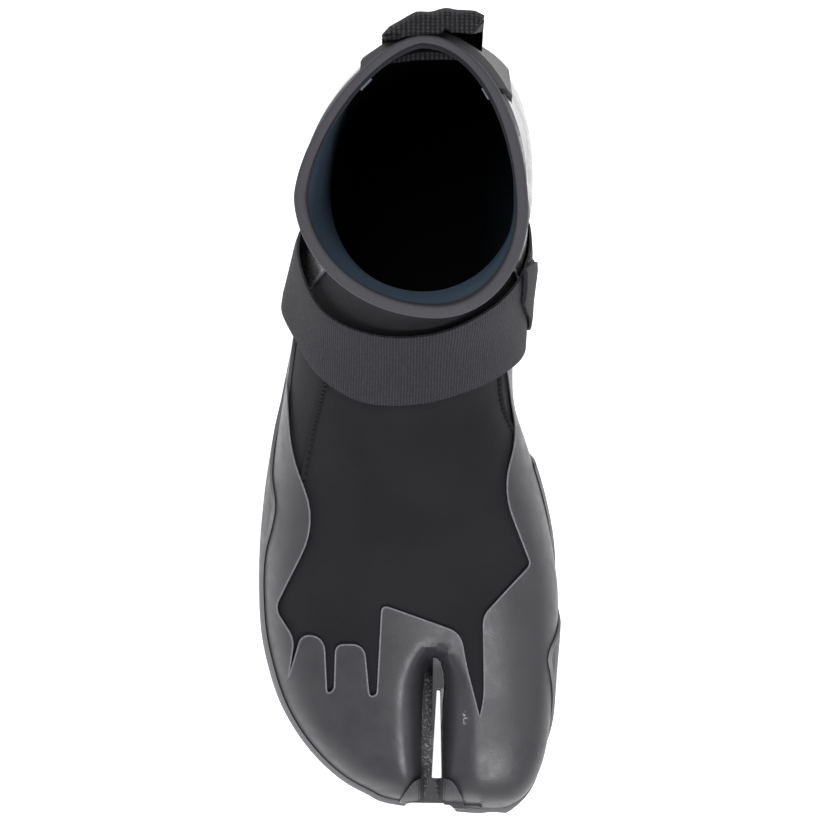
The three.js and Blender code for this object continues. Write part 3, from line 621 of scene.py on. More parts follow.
@dataclass
class Skins:
    """Shells and cutters that the pieces share, all from one form."""

    last: Last
    turns: int = 168
    steps: int = 6

    def rings(self, distance: float, top: float, steps: int, past: float = 0.0) -> Array:
        """Rows of points over the form.

        Args:
            distance: How far over the form.
            top: The last place.
            steps: Rows between two of the form's sections.
            past: How far the skin runs on beyond its last row, upwards.

        Returns:
            Rows by turns by three.
        """
        place = np.linspace(0, top, int(round(top * steps)) + 1)
        turn = (np.arange(self.turns) + 0.5) * 2 * np.pi / self.turns
        points = self.last.over(place[:, None], turn[None, :], distance)
        points = self.last.settle(points, distance)
        if past:
            points = np.concatenate([points, points[-1:] + [0, 0, past]])
        return points

    def shell(
        self, name: str, distance: float, top: float | None = None, past: float = 0.0
    ) -> bpy.types.Object:
        """A closed solid at a distance over the form, with the split cut into it."""
        top = self.last.last_row if top is None else top
        piece = sheet(name, self.rings(distance, top, self.steps, past), wrap=True, capped=True)
        return cut(piece, self.trench(distance), Cut.REMOVE)

    def trench(self, distance: float) -> bpy.types.Object:
        """The narrow lower part of the split, for a skin at a distance over the form."""
        last = self.last
        inset = last.panel_out - distance
        share = np.array([-0.3, 0, 0.3, 0.5, 0.64, 0.72, 0.78, 0.83, 0.87])
        width = np.interp(share, SPLIT_AT, SPLIT_NARROWS)
        y = last.toe_y + share * last.split_length
        y[-2:] += inset
        level = np.array([-0.8, 0.2, 0.52, 1.7])
        out = np.array([1.0, 1.04, 1.1, 1.16])
        half = out[None, :] * width[:, None] * last.split_width / 2 + inset
        low = last.base_z + last.lift(y)
        high = low[:, None] + level[None, :] * (last.crest(y) - low)[:, None]
        left = np.stack([last.split_x - half, np.repeat(y[:, None], 4, 1), high], -1)
        right = np.stack([last.split_x + half, np.repeat(y[:, None], 4, 1), high], -1)
        return sheet("trench", np.concatenate([left, right[:, ::-1]], 1), wrap=True, capped=True)

    def slab(self, name: str, low: float, high: float) -> bpy.types.Object:
        """What lies between two heights over the sole's underside, following its spring and arch."""
        y = np.linspace(self.last.toe_y - 6, self.last.heel_seat + 6, 70)
        lift = self.last.lift(y)
        line = np.concatenate([np.stack([y, lift + low], 1), np.stack([y, lift + high], 1)[::-1]])
        return prism(name, line, View.SIDE)

    def on_top(self, piece: bpy.types.Object, plan: Array) -> Array:
        """Drops plan points onto a piece from above.

        Args:
            piece: The piece that carries them.
            plan: X and Y in millimetres.

        Returns:
            Those that land, as points in millimetres.
        """
        tree = BVHTree.FromObject(piece, bpy.context.evaluated_depsgraph_get())
        landed = []
        for x, y in plan:
            hit = tree.ray_cast(Vector((x * MM, y * MM, 0.4)), Vector((0, 0, -1)))[0]
            if hit:
                landed.append(np.array(hit) / MM)
        return np.array(landed)


# The claw-shaped edge of the toe panel: a share of the sole's length, one of the ball's width, and softness.
CLAW_EDGE = (
    (0.72, -0.43, 0),
    (0.54, -0.412, 2),
    (0.46, -0.395, 2),
    (0.368, -0.302, 2.6),
    (0.262, -0.443, 0.7),
    (0.221, -0.376, 0.7),
    (0.168, -0.396, 0.25),
    (0.2, -0.37, 1),
    (0.228, -0.35, 0.8),
    (0.222, -0.276, 1),
    (0.15, -0.266, 0.5),
    (0.156, -0.24, 0.3),
    (0.214, -0.237, 0.6),
    (0.214, -0.145, 0.9),
    (0.147, -0.127, 0.5),
    (0.15, -0.1, 0.3),
    (0.264, -0.088, 0.5),
    (0.23, 0.166, 0.9),
    (0.186, 0.188, 1),
    (0.121, 0.234, 0.3),
    (0.15, 0.248, 1),
    (0.252, 0.24, 0.6),
    (0.319, 0.393, 0.4),
    (0.41, 0.297, 2),
    (0.485, 0.343, 1.6),
    (0.56, 0.311, 1),
    (0.72, 0.2, 0),
)


@dataclass
class Upper:
    """The neoprene boot: its wall, its lining and the bound edge of its collar."""

    skins: Skins
    wall: float = 3.0
    hem: float = 1.0
    hem_height: float = 6.0
    wrap: float = 8.0  # how far the bound edge runs down inside
    insole: float = 4.5
    open_end: float = 6.0

    @property
    def insole_top(self) -> float:
        """The insole's upper face, over the sole's lift."""
        return self.skins.last.base_z + self.insole

    def build(self, finishes: "Finishes") -> None:
        """Makes the wall with its lining, the bound edge and the insole."""
        last = self.skins.last
        wall = self.skins.shell("upper_wall", 0)
        inner = self.skins.shell("inner", -self.wall, past=self.open_end)
        for face in inner.data.polygons:
            face.material_index = 1
        inner.data.materials.append(None)
        inner.data.materials.append(None)
        wall.data.materials.append(None)
        wall.data.materials.append(None)
        wall = cut(wall, inner, Cut.REMOVE)
        wall = cut(wall, self.skins.slab("below", -FAR, self.insole_top + last.gap), Cut.REMOVE)
        index = np.empty(len(wall.data.polygons), int)
        wall.data.polygons.foreach_get("material_index", index)
        keep_piece(smooth(wall), [finishes.neoprene, finishes.lining], ["upper"])
        wall.data.polygons.foreach_set("material_index", index)
        keep_piece(self.binding(), finishes.binding)
        foam = self.skins.shell("foam_insole", 0, top=last.last_foot_row + 8)
        foam = cut(foam, self.skins.slab("above", -FAR, self.insole_top), Cut.KEEP)
        keep_piece(smooth(foam), finishes.lining, ["insole"])

    def binding(self) -> bpy.types.Object:
        """The collar's edge: a soft rolled hem, a little thicker than the wall."""
        last = self.skins.last
        turn = np.linspace(0, 2 * np.pi, 240, endpoint=False)
        edge = last.surface(last.last_row, turn)
        out = last.normal(last.last_row, turn)
        down = last.surface(last.last_row - 0.3, turn) - edge
        down /= np.linalg.norm(down, axis=1, keepdims=True)
        inside, outside = -self.wall - 0.25, self.hem
        profile = rounded(
            [
                (outside, self.hem_height, 0.1),
                (outside, -0.4, 0.36),
                (inside, -0.4, 0.36),
                (inside, self.wrap, 0.1),
            ],
            steps=7,
        )
        points = edge[None] + out[None] * profile[:, :1, None] + down[None] * profile[:, 1:, None]
        closed = np.concatenate([points, points[:1]])
        piece = sheet("collar_edge", closed, wrap=True)
        take(piece)
        bpy.ops.object.mode_set(mode="EDIT")
        bpy.ops.mesh.select_all(action="SELECT")
        bpy.ops.mesh.remove_doubles(threshold=1e-7)
        bpy.ops.mesh.normals_make_consistent(inside=False)
        bpy.ops.object.mode_set(mode="OBJECT")
        flat = points_of(piece)
        near = np.array([np.argmin(((edge - point) ** 2).sum(axis=1)) for point in flat])
        sideways = ((flat - edge[near]) * out[near]).sum(axis=1)
        depth = np.maximum(((flat - edge[near]) * down[near]).sum(axis=1), 0)
        mark(piece, "across", sideways + np.where(sideways > inside / 2, depth, -depth))
        return smooth(piece, 60)


@dataclass
class ToePanel:
    """The rubber panel over the toes, with its claw edge and its two wings."""

    skins: Skins
    start: float = 9.6
    seam_y: float = -56.0
    top: float = 66.0
    bead: float = 0.3

    def edge(self) -> Array:
        """The claw edge in plan."""
        last = self.skins.last
        corners = [(float(last.across(over)), float(last.along(at)), soft) for at, over, soft in CLAW_EDGE]
        return rounded(corners)

    def build(self, finishes: "Finishes") -> bpy.types.Object:
        """Cuts the panel out of two skins and lays a moulded bead along its edge.

        Args:
            finishes: The boot's materials.

        Returns:
            The panel.
        """
        last = self.skins.last
        edge = self.edge()
        reach = last.last_foot_row + 6
        panel = self.skins.shell("toe_panel", last.panel_out, top=reach)
        carrier = self.skins.shell("carrier", last.panel_out, top=reach)
        panel = cut(panel, self.skins.shell("inner", last.gap, top=reach), Cut.REMOVE)
        panel = cut(panel, self.skins.slab("band", self.start, FAR), Cut.KEEP)
        window = prism("window", edge, View.PLAN, self.start + 5, FAR)
        low = 0.4 * last.instep_height
        wings = block("wings", (-FAR, FAR), (float(last.along(0.5)), FAR), (-FAR, low))
        panel = cut(panel, cut(window, wings, Cut.REMOVE), Cut.REMOVE)
        room = block("room", (-FAR, FAR), (-FAR, self.seam_y - last.gap), (-FAR, self.top))
        panel = cut(panel, room, Cut.KEEP)
        flat = points_of(panel)
        # Distance to the claw edge, along which the panel is painted pale: partly wear, partly painted
        # highlight.
        mark(panel, "edge", away_from(flat[:, :2], edge))
        keep_piece(smooth(panel), finishes.panel, ["toe_rand"])
        self.lay_bead(carrier, edge, finishes)
        bpy.data.objects.remove(carrier)
        return panel

    def lay_bead(self, carrier: bpy.types.Object, edge: Array, finishes: "Finishes") -> None:
        """Lays the thin raised lip along the claw edge."""
        length = np.concatenate([[0], np.cumsum(np.linalg.norm(np.diff(edge, axis=0), axis=1))])
        even = np.arange(0, length[-1], 0.8)
        plan = np.stack([np.interp(even, length, edge[:, k]) for k in (0, 1)], 1)
        plan = plan[plan[:, 1] < self.seam_y - 1]
        path = self.skins.on_top(carrier, plan)
        path = path[path[:, 2] < self.top + 6]
        path[:, 2] = np.convolve(np.pad(path[:, 2], 1, mode="edge"), [0.25, 0.5, 0.25], "valid")
        path[:, 2] += self.bead * 0.15
        keep_piece(tube("panel_bead", path, self.bead, flat=0.8), finishes.bead)


# The lip of the sole along each side: a share of the sole's length, the lip's height, and softness.
LIP_INNER = (
    (0, 0.38, 0),
    (0.09, 0.4, 1),
    (0.14, 0.64, 1),
    (0.205, 0.93, 1.2),
    (0.235, 0.8, 1),
    (0.275, 0.44, 1),
    (0.305, 0.42, 1),
    (0.37, 0.72, 2),
    (0.453, 0.9, 0.6),
    (0.475, 0.44, 1),
    (0.53, 0.36, 1),
    (0.76, 0.4, 2),
    (0.92, 0.64, 3),
    (1, 0.7, 0),
)
LIP_OUTER = (
    (0, 0.38, 0),
    (0.12, 0.36, 1),
    (0.32, 0.42, 2),
    (0.36, 0.7, 1),
    (0.4, 0.82, 1.5),
    (0.455, 0.52, 2),
    (0.53, 0.36, 1),
    (0.76, 0.4, 2),
    (0.92, 0.64, 3),
    (1, 0.7, 0),
)
# Flex grooves under the sole: where each group starts and ends along it, how far out, and the middle.
GROOVES = ((0.1, 0.3, 0.25, 0.02), (0.4, 0.48, 0.25, -0.02), (0.75, 0.82, 0.15, 0), (0.92, 0.97, 0.12, 0))


@dataclass
class Outsole:
    """The cupped rubber sole: lip, petals, bridge between the toes, slot and flex grooves."""

    skins: Skins
    panel_start: float = 9.6
    lip: float = 1.8
    lip_top: float = 0.9
    slot_x: float = 10.8
    slot_width: float = 3.6
    slot_length: float = 32.0
    bridge_length: float = 12.5
    bridge_width: float = 13.0
    bridge_height: float = 19.0
    bridge_dent: float = 3.5
    cap_from: float = 14.0  # the height over the floor from which the bridge lies on the panels
    groove_depth: float = 1.4
    groove_width: float = 2.6
    groove_pitch: float = 12.0

    @property
    def inside(self) -> float:
        """The lip's inner face, over the form."""
        return self.skins.last.panel_out + self.skins.last.gap

    @property
    def outside(self) -> float:
        """The lip's outer face at the floor, over the form."""
        return self.inside + self.lip

    def body(self) -> bpy.types.Object:
        """The sole's outside, thinner at the lip's top and let down to a flat underside."""
        last = self.skins.last
        place = np.linspace(0, last.last_row, last.last_row * 5 + 1)[:, None]
        turn = ((np.arange(self.skins.turns) + 0.5) * 2 * np.pi / self.skins.turns)[None, :]
        foot = last.surface(place, turn)
        high = foot[..., 2] - last.lift(foot[..., 1])
        thin = np.clip((high - 10) / 12, 0, 1)
        points = last.over(place, turn, self.inside + self.lip + (self.lip_top - self.lip) * thin)
        let_down = last.base_z - self.outside + 1.6
        points[..., 2] -= let_down * np.clip(1 - high / 24, 0, 1)
        return sheet("outsole_rubber", points, wrap=True, capped=True)

    def lip_height(self, side: Sequence[tuple[float, float, float]]) -> Array:
        """A side's lip as a line of Y and Z."""
        last = self.skins.last
        rows = [(float(last.along(at)), high * last.toe_height, soft) for at, high, soft in side]
        ends = [(rows[-1][0] + 4, -FAR, 0), (rows[0][0] - 4, -FAR, 0)]
        line = rounded(rows + ends)
        return line[: -len(ends)]

    def side(
        self, name: str, rows: Sequence[tuple[float, float, float]], low: float, high: float
    ) -> bpy.types.Object:
        """What the sole fills on one side, seen from that side."""
        line = self.lip_height(rows)
        front, back = line[0] - [6, 0], line[-1] + [6, 0]
        outline = np.concatenate([[front], line, [back, [back[0], -FAR], [front[0], -FAR]]])
        return prism(name, outline, View.SIDE, low, high)

    def build(self, finishes: "Finishes") -> None:
        """Makes the sole and marks its edges, painted pale as wear and a painted highlight, and its grit."""
        last = self.skins.last
        x, width = last.split_x, self.bridge_width
        slot_front = last.toe_y + self.bridge_length
        bridge = prism(
            "bridge",
            rounded(
                [
                    (x - width, 0, 0),
                    (x - width / 2, self.bridge_height, 0.5),
                    (x + width / 2, self.bridge_height, 0.5),
                    (x + width, 0, 0),
                ]
            ),
            View.FRONT,
            -FAR,
            slot_front,
        )
        lips = self.side("lips", LIP_OUTER, -FAR, x + self.lip_top)
        lips = cut(lips, self.side("inner_lip", LIP_INNER, x, FAR), Cut.JOIN)
        lips = cut(lips, bridge, Cut.JOIN)
        sole = cut(self.body(), self.skins.slab("room", 0, FAR), Cut.KEEP)
        sole = cut(sole, lips, Cut.KEEP)
        cavity = self.skins.shell("cavity", self.inside, past=20)
        rings = self.skins.rings(self.inside, last.last_row, 4, past=20)
        behind = sheet("behind", rings, wrap=True, capped=True)
        behind = cut(behind, block("room", (-FAR, FAR), (slot_front, FAR), (-FAR, FAR)), Cut.KEEP)
        cavity = cut(cavity, behind, Cut.JOIN)
        cavity = cut(cavity, self.skins.slab("room", self.panel_start - last.gap, FAR), Cut.KEEP)
        sole = cut(sole, cavity, Cut.REMOVE)
        sole = cut(sole, self.skins.shell("seat", last.gap, past=20), Cut.REMOVE)
        sole = cut(sole, self.slot(slot_front), Cut.REMOVE)
        sole = cut(sole, self.dent(), Cut.REMOVE)
        for groove in self.grooves():
            sole = cut(sole, groove, Cut.REMOVE)
        self.mark_edges_and_grit(sole)
        keep_piece(smooth(sole, 32), finishes.sole, ["outsole"])
        keep_piece(self.cap(), finishes.bridge)

    def cap(self) -> bpy.types.Object:
        """The ribbed bridge, moulded over the fronts of both toes."""
        last, x, width = self.skins.last, self.skins.last.split_x, self.bridge_width
        place = np.linspace(0, last.last_foot_row, last.last_foot_row * 6 + 1)[:, None]
        turn = ((np.arange(self.skins.turns) + 0.5) * 2 * np.pi / self.skins.turns)[None, :]
        high = last.over(place, turn, self.inside + self.lip_top)
        points = last.settle(high, self.inside + self.lip_top)
        level = self.bridge_height + self.lip_top / 2
        points[..., 2] = np.maximum(points[..., 2], np.minimum(high[..., 2], level))
        cap = sheet("toe_bridge", points, wrap=True, capped=True)
        cap = cut(cap, self.skins.shell("inner", self.inside, top=last.last_foot_row), Cut.REMOVE)
        front, back = last.toe_y + self.bridge_dent, last.toe_y + self.bridge_length
        outline = [
            (x - width * 1.02, front - 12, 0),
            (x - width * 0.91, front, 0.5),
            (x - width * 0.43, back, 0.7),
            (x + width * 0.57, back, 0.7),
            (x + width * 0.9, front + 1, 0.5),
            (x + width * 1.09, front - 12, 0),
        ]
        cap = cut(cap, prism("outline", rounded(outline), View.PLAN, self.cap_from, FAR), Cut.KEEP)
        return smooth(cut(cap, self.dent(), Cut.REMOVE))

    def slot(self, front: float) -> bpy.types.Object:
        """The slot through the sole between the toes."""
        wide = self.slot_width
        outline = [
            (self.slot_x - wide / 2, front, 0.1),
            (self.slot_x + wide / 2, front, 0.1),
            (self.slot_x + wide / 4, front + self.slot_length, 0.15),
            (self.slot_x - wide / 8, front + self.slot_length, 0.15),
        ]
        return prism("slot", rounded(outline), View.PLAN)

    def dent(self) -> bpy.types.Object:
        """The notch in the sole's front edge, before the bridge."""
        x, width = self.skins.last.split_x, self.bridge_width
        front = self.skins.last.toe_y
        outline = [
            (x - width, front - self.outside, 0),
            (x - width * 0.7, front + self.bridge_dent, 0.5),
            (x + width * 0.5, front + self.bridge_dent, 0.5),
            (x + width, front - self.outside, 0),
        ]
        return prism("dent", rounded(outline), View.PLAN)

    def grooves(self) -> list[bpy.types.Object]:
        """The flex grooves' cutters."""
        last = self.skins.last
        cutters = []
        for start, end, reach, middle in GROOVES:
            count = int((end - start) * last.sole_length / self.groove_pitch) + 1
            for i in range(count):
                y = float(last.along(start)) + i * self.groove_pitch
                x = (float(last.across(middle - reach)), float(last.across(middle + reach)))
                top = float(last.lift(y + self.groove_width / 2)) + self.groove_depth
                cutters.append(block("groove", x, (y, y + self.groove_width), (-6, top)))
        return cutters

    def mark_edges_and_grit(self, sole: bpy.types.Object) -> None:
        """Stores how near each point is to the lip's top, which is painted pale: partly wear, partly a
        painted highlight.
        """
        flat = points_of(sole)
        near = np.full(len(flat), FAR)
        outer_side = flat[:, 0] < self.skins.last.split_x
        for rows, on_side in ((LIP_OUTER, outer_side), (LIP_INNER, ~outer_side)):
            near[on_side] = away_from(flat[on_side][:, 1:], self.lip_height(rows))
        mark(sole, "edge", near)
        last = self.skins.last
        beside = np.abs(flat[:, 0] - last.split_x) < last.split_width
        middle = last.toe_y + self.bridge_length + self.slot_length / 2
        behind = np.abs(flat[:, 1] - middle) < self.slot_length
        low = flat[:, 2] < self.panel_start + last.toe_spring
        mark(sole, "grit", (beside & behind & low).astype(float))


# The heel panel's upper edge from the side: a share of the sole's length, one of the collar's height, and
# softness.
COUNTER_EDGE = (
    (0.667, 0.36, 0),
    (0.69, 0.56, 2),
    (0.73, 0.75, 3),
    (0.8, 0.86, 3),
    (0.88, 0.91, 3),
    (1.02, 0.91, 0),
)


@dataclass
class Heel:
    """The glossy rubber round the heel, and the ribbed patch up its back."""

    skins: Skins
    start: float = 9.6
    seam_y: float = -56.0
    patch_thickness: float = 3.0
    patch_width: float = 51.06
    patch_x: float = 6.81
    patch_bottom: float = 78.0
    patch_top: float = 142.0

    def opening(self, gap: float) -> bpy.types.Object:
        """The patch's place in the heel panel, wider by a gap."""
        half = self.patch_width / 2 + gap
        x = (self.patch_x - half, self.patch_x + half)
        return block("patch_room", x, (-gap, FAR), (self.patch_bottom - gap, self.patch_top + gap))

    def build(self, finishes: "Finishes") -> None:
        """Cuts the heel panel and the patch out of their skins."""
        last = self.skins.last
        edge = [(float(last.along(at)), high * last.collar_height, soft) for at, high, soft in COUNTER_EDGE]
        ends = [(edge[-1][0], 0, 0), (self.seam_y, 0, 0), (self.seam_y, edge[0][1] * 0.8, 0)]
        outline = rounded(edge + ends, steps=8)
        panel = self.skins.shell("heel_panel", last.panel_out)
        panel = cut(panel, self.skins.shell("inner", last.gap, past=8), Cut.REMOVE)
        panel = cut(panel, self.skins.slab("band", self.start, FAR), Cut.KEEP)
        panel = cut(panel, prism("side", outline, View.SIDE), Cut.KEEP)
        panel = cut(panel, self.opening(last.gap), Cut.REMOVE)
        # Distance to the upper edge, along which the glossy rubber carries a painted reflection.
        mark(panel, "edge", away_from(points_of(panel)[:, 1:], outline[: -len(ends)]))
        keep_piece(smooth(panel), finishes.heel, ["heel_counter"])
        patch = self.skins.shell("heel_patch", last.gap + self.patch_thickness)
        patch = cut(patch, self.skins.shell("inner", last.gap, past=8), Cut.REMOVE)
        patch = cut(patch, self.opening(0), Cut.KEEP)
        keep_piece(smooth(patch), finishes.ribbed, ["back_patch"])


@dataclass(frozen=True)
class BandRow:
    """A row of a strap's path: its turn in half turns, its edges' places, and how far they stand off."""

    turn: float
    low: float
    high: float
    front: float
    back: float


STRAP_PATH = (
    BandRow(-0.61, 15.75, 16.9, 2.4, 2),
    BandRow(-0.5, 15.75, 17, 6.8, 4.4),
    BandRow(-0.38, 15.4, 16.9, 4.2, 4.9),
    BandRow(-0.26, 14.75, 16.6, 3.2, 4.6),
    BandRow(-0.13, 14.22, 16.65, 2.4, 3.4),
    BandRow(0, 14.27, 17, 2.2, 2.8),
    BandRow(0.13, 14.62, 17.4, 2.4, 3),
    BandRow(0.26, 14.95, 17.45, 3.6, 3),
    BandRow(0.38, 15.15, 17.4, 4.8, 2.4),
    BandRow(0.5, 15.3, 17.3, 4.5, 2),
    BandRow(0.61, 15.4, 17.1, 2.4, 2),
)
TAB_PATH = (
    BandRow(0.32, 16.7, 17.8, 5.2, 4.7),
    BandRow(0.38, 16.1, 17.4, 6, 4.65),
    BandRow(0.5, 15.45, 16.7, 6.45, 4.95),
    BandRow(0.59, 15.45, 16.6, 5.15, 4.4),
)
# Across the pull loop: the place as a share of half its width, and how far it reaches back there.
LOOP_AT = (-1, -0.86, -0.6, -0.34, 0.1, 0.57, 0.82, 1)
LOOP_REACHES = (0.14, 0.4, 0.62, 0.85, 0.97, 1, 0.9, 0.76)
# Along the loop, from its top to its bottom: a share of its height, and of its reach.
LOOP_RISE = (1, 0.97, 0.86, 0.62, 0.36, 0.12, 0.03)
LOOP_OUT = (0.2, 0.66, 0.94, 1, 0.92, 0.62, 0.2)


@dataclass
class Webbing:
    """The strap over the instep, its second layer, and the loop that pulls the boot on."""

    skins: Skins
    thickness: float = 1.6
    samples: int = 10
    columns: int = 9
    loop_width: float = 34.04
    loop_x: float = 5.33
    loop_bottom: float = 106.05
    loop_top: float = 152.0
    loop_reach: float = 11.5
    pinch_x: float = 9.5

    def band(self, name: str, path: Sequence[BandRow]) -> bpy.types.Object:
        """A strip of webbing along a path round the form.

        Args:
            name: The piece's name.
            path: Its rows.

        Returns:
            The strip, with its lengthwise and crosswise places stored in millimetres.
        """
        table = np.array([[r.turn, r.low, r.high, r.front, r.back] for r in path])
        count = (len(path) - 1) * self.samples + 1
        t = np.linspace(0, len(path) - 1, count)
        i = np.clip(np.floor(t).astype(int), 0, len(path) - 2)
        f = (t - i)[:, None]
        a, b, c, d = (table[np.clip(i + k, 0, len(path) - 1)] for k in (-1, 0, 1, 2))
        row = b + 0.5 * f * (c - a + f * (2 * a - 5 * b + 4 * c - d + f * (3 * (b - c) + d - a)))
        share = np.linspace(0, 1, self.columns)[None, :]
        place = row[:, 1:2] + (row[:, 2:3] - row[:, 1:2]) * share
        off = row[:, 3:4] + (row[:, 4:5] - row[:, 3:4]) * share
        turn = np.broadcast_to(row[:, 0:1] * np.pi, place.shape)
        edge = 0.22 * self.thickness * (np.abs(share * 2 - 1) > 0.98)
        inner = self.skins.last.over(place, turn, off + edge)
        outer = self.skins.last.over(place, turn, off + self.thickness - edge)
        piece = sheet(name, np.concatenate([inner, outer[:, ::-1]], 1), wrap=True, capped=True)
        middle = (inner + outer)[:, self.columns // 2] / 2
        length = np.concatenate([[0], np.cumsum(np.linalg.norm(np.diff(middle, axis=0), axis=1))])
        flat = points_of(piece)
        cloud = ((inner + outer) / 2).reshape(-1, 3)
        width = np.linalg.norm(np.diff(inner, axis=1), axis=2).cumsum(axis=1)
        width = np.concatenate([np.zeros((count, 1)), width], 1).ravel()
        nearest = np.array([np.argmin(((cloud - p) ** 2).sum(axis=1)) for p in flat])
        mark(piece, "along", np.repeat(length, self.columns)[nearest])
        mark(piece, "across", width[nearest])
        return smooth(piece, 50)

    def loop(self) -> bpy.types.Object:
        """The pull loop: a wide band that arches behind the patch, pinched where it meets the collar."""
        last = self.skins.last
        across = np.linspace(-1, 1, 45)
        down = np.linspace(0, 1, 33)
        knot = np.linspace(0, 1, len(LOOP_RISE))
        reach = np.interp(across, LOOP_AT, LOOP_REACHES)
        rise, out = np.interp(down, knot, LOOP_RISE), np.interp(down, knot, LOOP_OUT)
        for _ in range(3):
            rise[1:-1] = (rise[:-2] + 2 * rise[1:-1] + rise[2:]) / 4
            out[1:-1] = (out[:-2] + 2 * out[1:-1] + out[2:]) / 4
        back = last.collar_middle + last.collar_length / 2
        gather = np.clip(1 - down / 0.3, 0, 1)[None, :] ** 1.5
        x = self.loop_x + across[:, None] * self.loop_width / 2
        x = x + (self.pinch_x - x) * 0.3 * gather
        z = self.loop_bottom + (self.loop_top - self.loop_bottom) * rise[None, :] + 0 * x
        aside = x - self.pinch_x
        radiating = np.cos(2.6 * np.arctan2(aside, 3 + 24 * down[None, :]) * 3)
        fold = 0.45 * radiating * np.exp(-(((down[None, :] - 0.25) / 0.22) ** 2))
        crease = np.exp(-((aside / 1.6) ** 2)) * np.clip(1 - down[None, :] / 0.3, 0, 1)
        y = back + self.loop_reach * out[None, :] * reach[:, None] + fold - 0.6
        y = y + 1.3 * crease - 0.8 * gather * (1 - np.abs(across[:, None]))
        spine = np.stack([x + 0 * y, y, z], -1)
        tangent = np.gradient(spine, axis=1)
        side = np.stack([0 * x, -tangent[..., 2], tangent[..., 1]], -1)
        side /= np.maximum(np.linalg.norm(side, axis=-1, keepdims=True), 1e-9)
        half = self.thickness / 2
        ring = np.concatenate([spine + side * half, (spine - side * half)[:, ::-1]], 1)
        piece = sheet("pull_loop_web", ring, wrap=True, capped=True)
        flat = points_of(piece)
        mark(piece, "along", flat[:, 0])
        mark(piece, "across", np.linalg.norm(flat[:, 1:] - [back, self.loop_top], axis=1))
        return smooth(piece, 50)

    def build(self, finishes: "Finishes") -> None:
        """Makes the three pieces of webbing."""
        keep_piece(self.band("instep_strap", STRAP_PATH), finishes.webbing, ["strap"])
        keep_piece(self.band("strap_end", TAB_PATH), finishes.webbing, ["strap_tab"])
        keep_piece(self.loop(), finishes.loop, ["pull_loop"])


@dataclass
class Seams:
    """The flat seams of the neoprene and the taped ones inside the collar."""

    skins: Skins
    width: float = 2.8
    stitch: float = 1.9
    thread: float = 0.22

    def build(self, finishes: "Finishes") -> None:
        """Lays the seams on the vamp and the tapes in the collar."""
        outer = np.array([[14.6, -0.275], [13.8, -0.29], [12.9, -0.305], [11.9, -0.325]])
        inner = np.array([[14.9, 0.3], [14.2, 0.31], [13.5, 0.32], [12.8, 0.335]])
        self.flat_seam("outer_seam", outer, finishes)
        self.flat_seam("inner_seam", inner, finishes)
        self.tape("outer_tape", -0.8, finishes)
        self.tape("inner_tape", 0.74, finishes)

    def flat_seam(self, name: str, rows: Array, finishes: "Finishes") -> None:
        """A low ridge with a zigzag of thread over it.

        Args:
            name: The seam's name.
            rows: Places and turns, in half turns, along it.
            finishes: The boot's materials.
        """
        knot = np.linspace(0, 1, len(rows))
        t = np.linspace(0, 1, 60)
        place, turn = np.interp(t, knot, rows[:, 0]), np.interp(t, knot, rows[:, 1]) * np.pi
        last = self.skins.last
        ridge = tube(name, last.over(place, turn, 0.0), self.width / 2, sides=10, flat=0.35)
        keep_piece(ridge, finishes.neoprene)
        run = last.over(place, turn, 0.5)
        length = np.linalg.norm(np.diff(run, axis=0), axis=1).sum()
        count = int(length / (self.stitch / 2))
        t = np.linspace(0, 1, count)
        place, turn = np.interp(t, knot, rows[:, 0]), np.interp(t, knot, rows[:, 1]) * np.pi
        sway = np.where(np.arange(count) % 2, 1, -1) * (self.width * 0.42) / 45
        path = last.over(place, turn + sway, 0.55)
        keep_piece(tube(name + "_thread", path, self.thread, sides=5), finishes.thread)

    def tape(self, name: str, turn: float, finishes: "Finishes") -> None:
        """A strip of seam tape down the inside of the collar."""
        last = self.skins.last
        place = np.linspace(last.last_row - 1.1, last.last_row - 0.3, 8)[:, None]
        turns = turn * np.pi + np.linspace(-0.05, 0.05, 5)[None, :]
        inner = last.over(place, turns, -3.9)
        outer = last.over(place, turns, -3.1)
        piece = sheet(name, np.concatenate([inner, outer[:, ::-1]], 1), wrap=True, capped=True)
        keep_piece(smooth(piece), finishes.tape)


# Finishes


def linear(code: str, alpha: float = 1.0) -> tuple[float, float, float, float]:
    """A colour's linear values from its sRGB hex code."""
    parts = [int(code[i : i + 2], 16) / 255 for i in (1, 3, 5)]
    turned = [p / 12.92 if p <= 0.04045 else ((p + 0.055) / 1.055) ** 2.4 for p in parts]
    return (turned[0], turned[1], turned[2], alpha)


def add_node(
    tree: bpy.types.NodeTree,
    kind: str,
    settings: dict[str, Any] | None = None,
    links: dict[Any, bpy.types.NodeSocket] | None = None,
) -> bpy.types.Node:
    """Adds a node with its settings and links.

    Args:
        tree: The material's nodes.
        kind: The node's type.
        settings: Its properties, and its sockets by name or number, each a value or what is linked to it.
        links: More of what is linked to its sockets.

    Returns:
        The node.
    """
    node = tree.nodes.new(kind)
    for name, value in {**(settings or {}), **(links or {})}.items():
        if isinstance(value, bpy.types.NodeSocket):
            tree.links.new(value, node.inputs[name])
        elif isinstance(name, int) or name in node.inputs:
            node.inputs[name].default_value = value
        else:
            setattr(node, name, value)
    return node


def blank(name: str) -> tuple[bpy.types.Material, bpy.types.NodeTree]:
    """A new material with only its output."""
    material = bpy.data.materials.new(name)
    material.use_nodes = True
    material.node_tree.nodes.clear()
    return material, material.node_tree


def grain(
    tree: bpy.types.NodeTree, size_mm: float, detail: float = 2.0, rough: float = 0.5
) -> bpy.types.NodeSocket:
    """Grain of a real size, on the object's own coordinates."""
    place = add_node(tree, "ShaderNodeTexCoord").outputs["Object"]
    settings = {"Scale": 1 / (size_mm * MM), "Detail": detail, "Roughness": rough}
    return add_node(tree, "ShaderNodeTexNoise", settings, {"Vector": place}).outputs["Fac"]


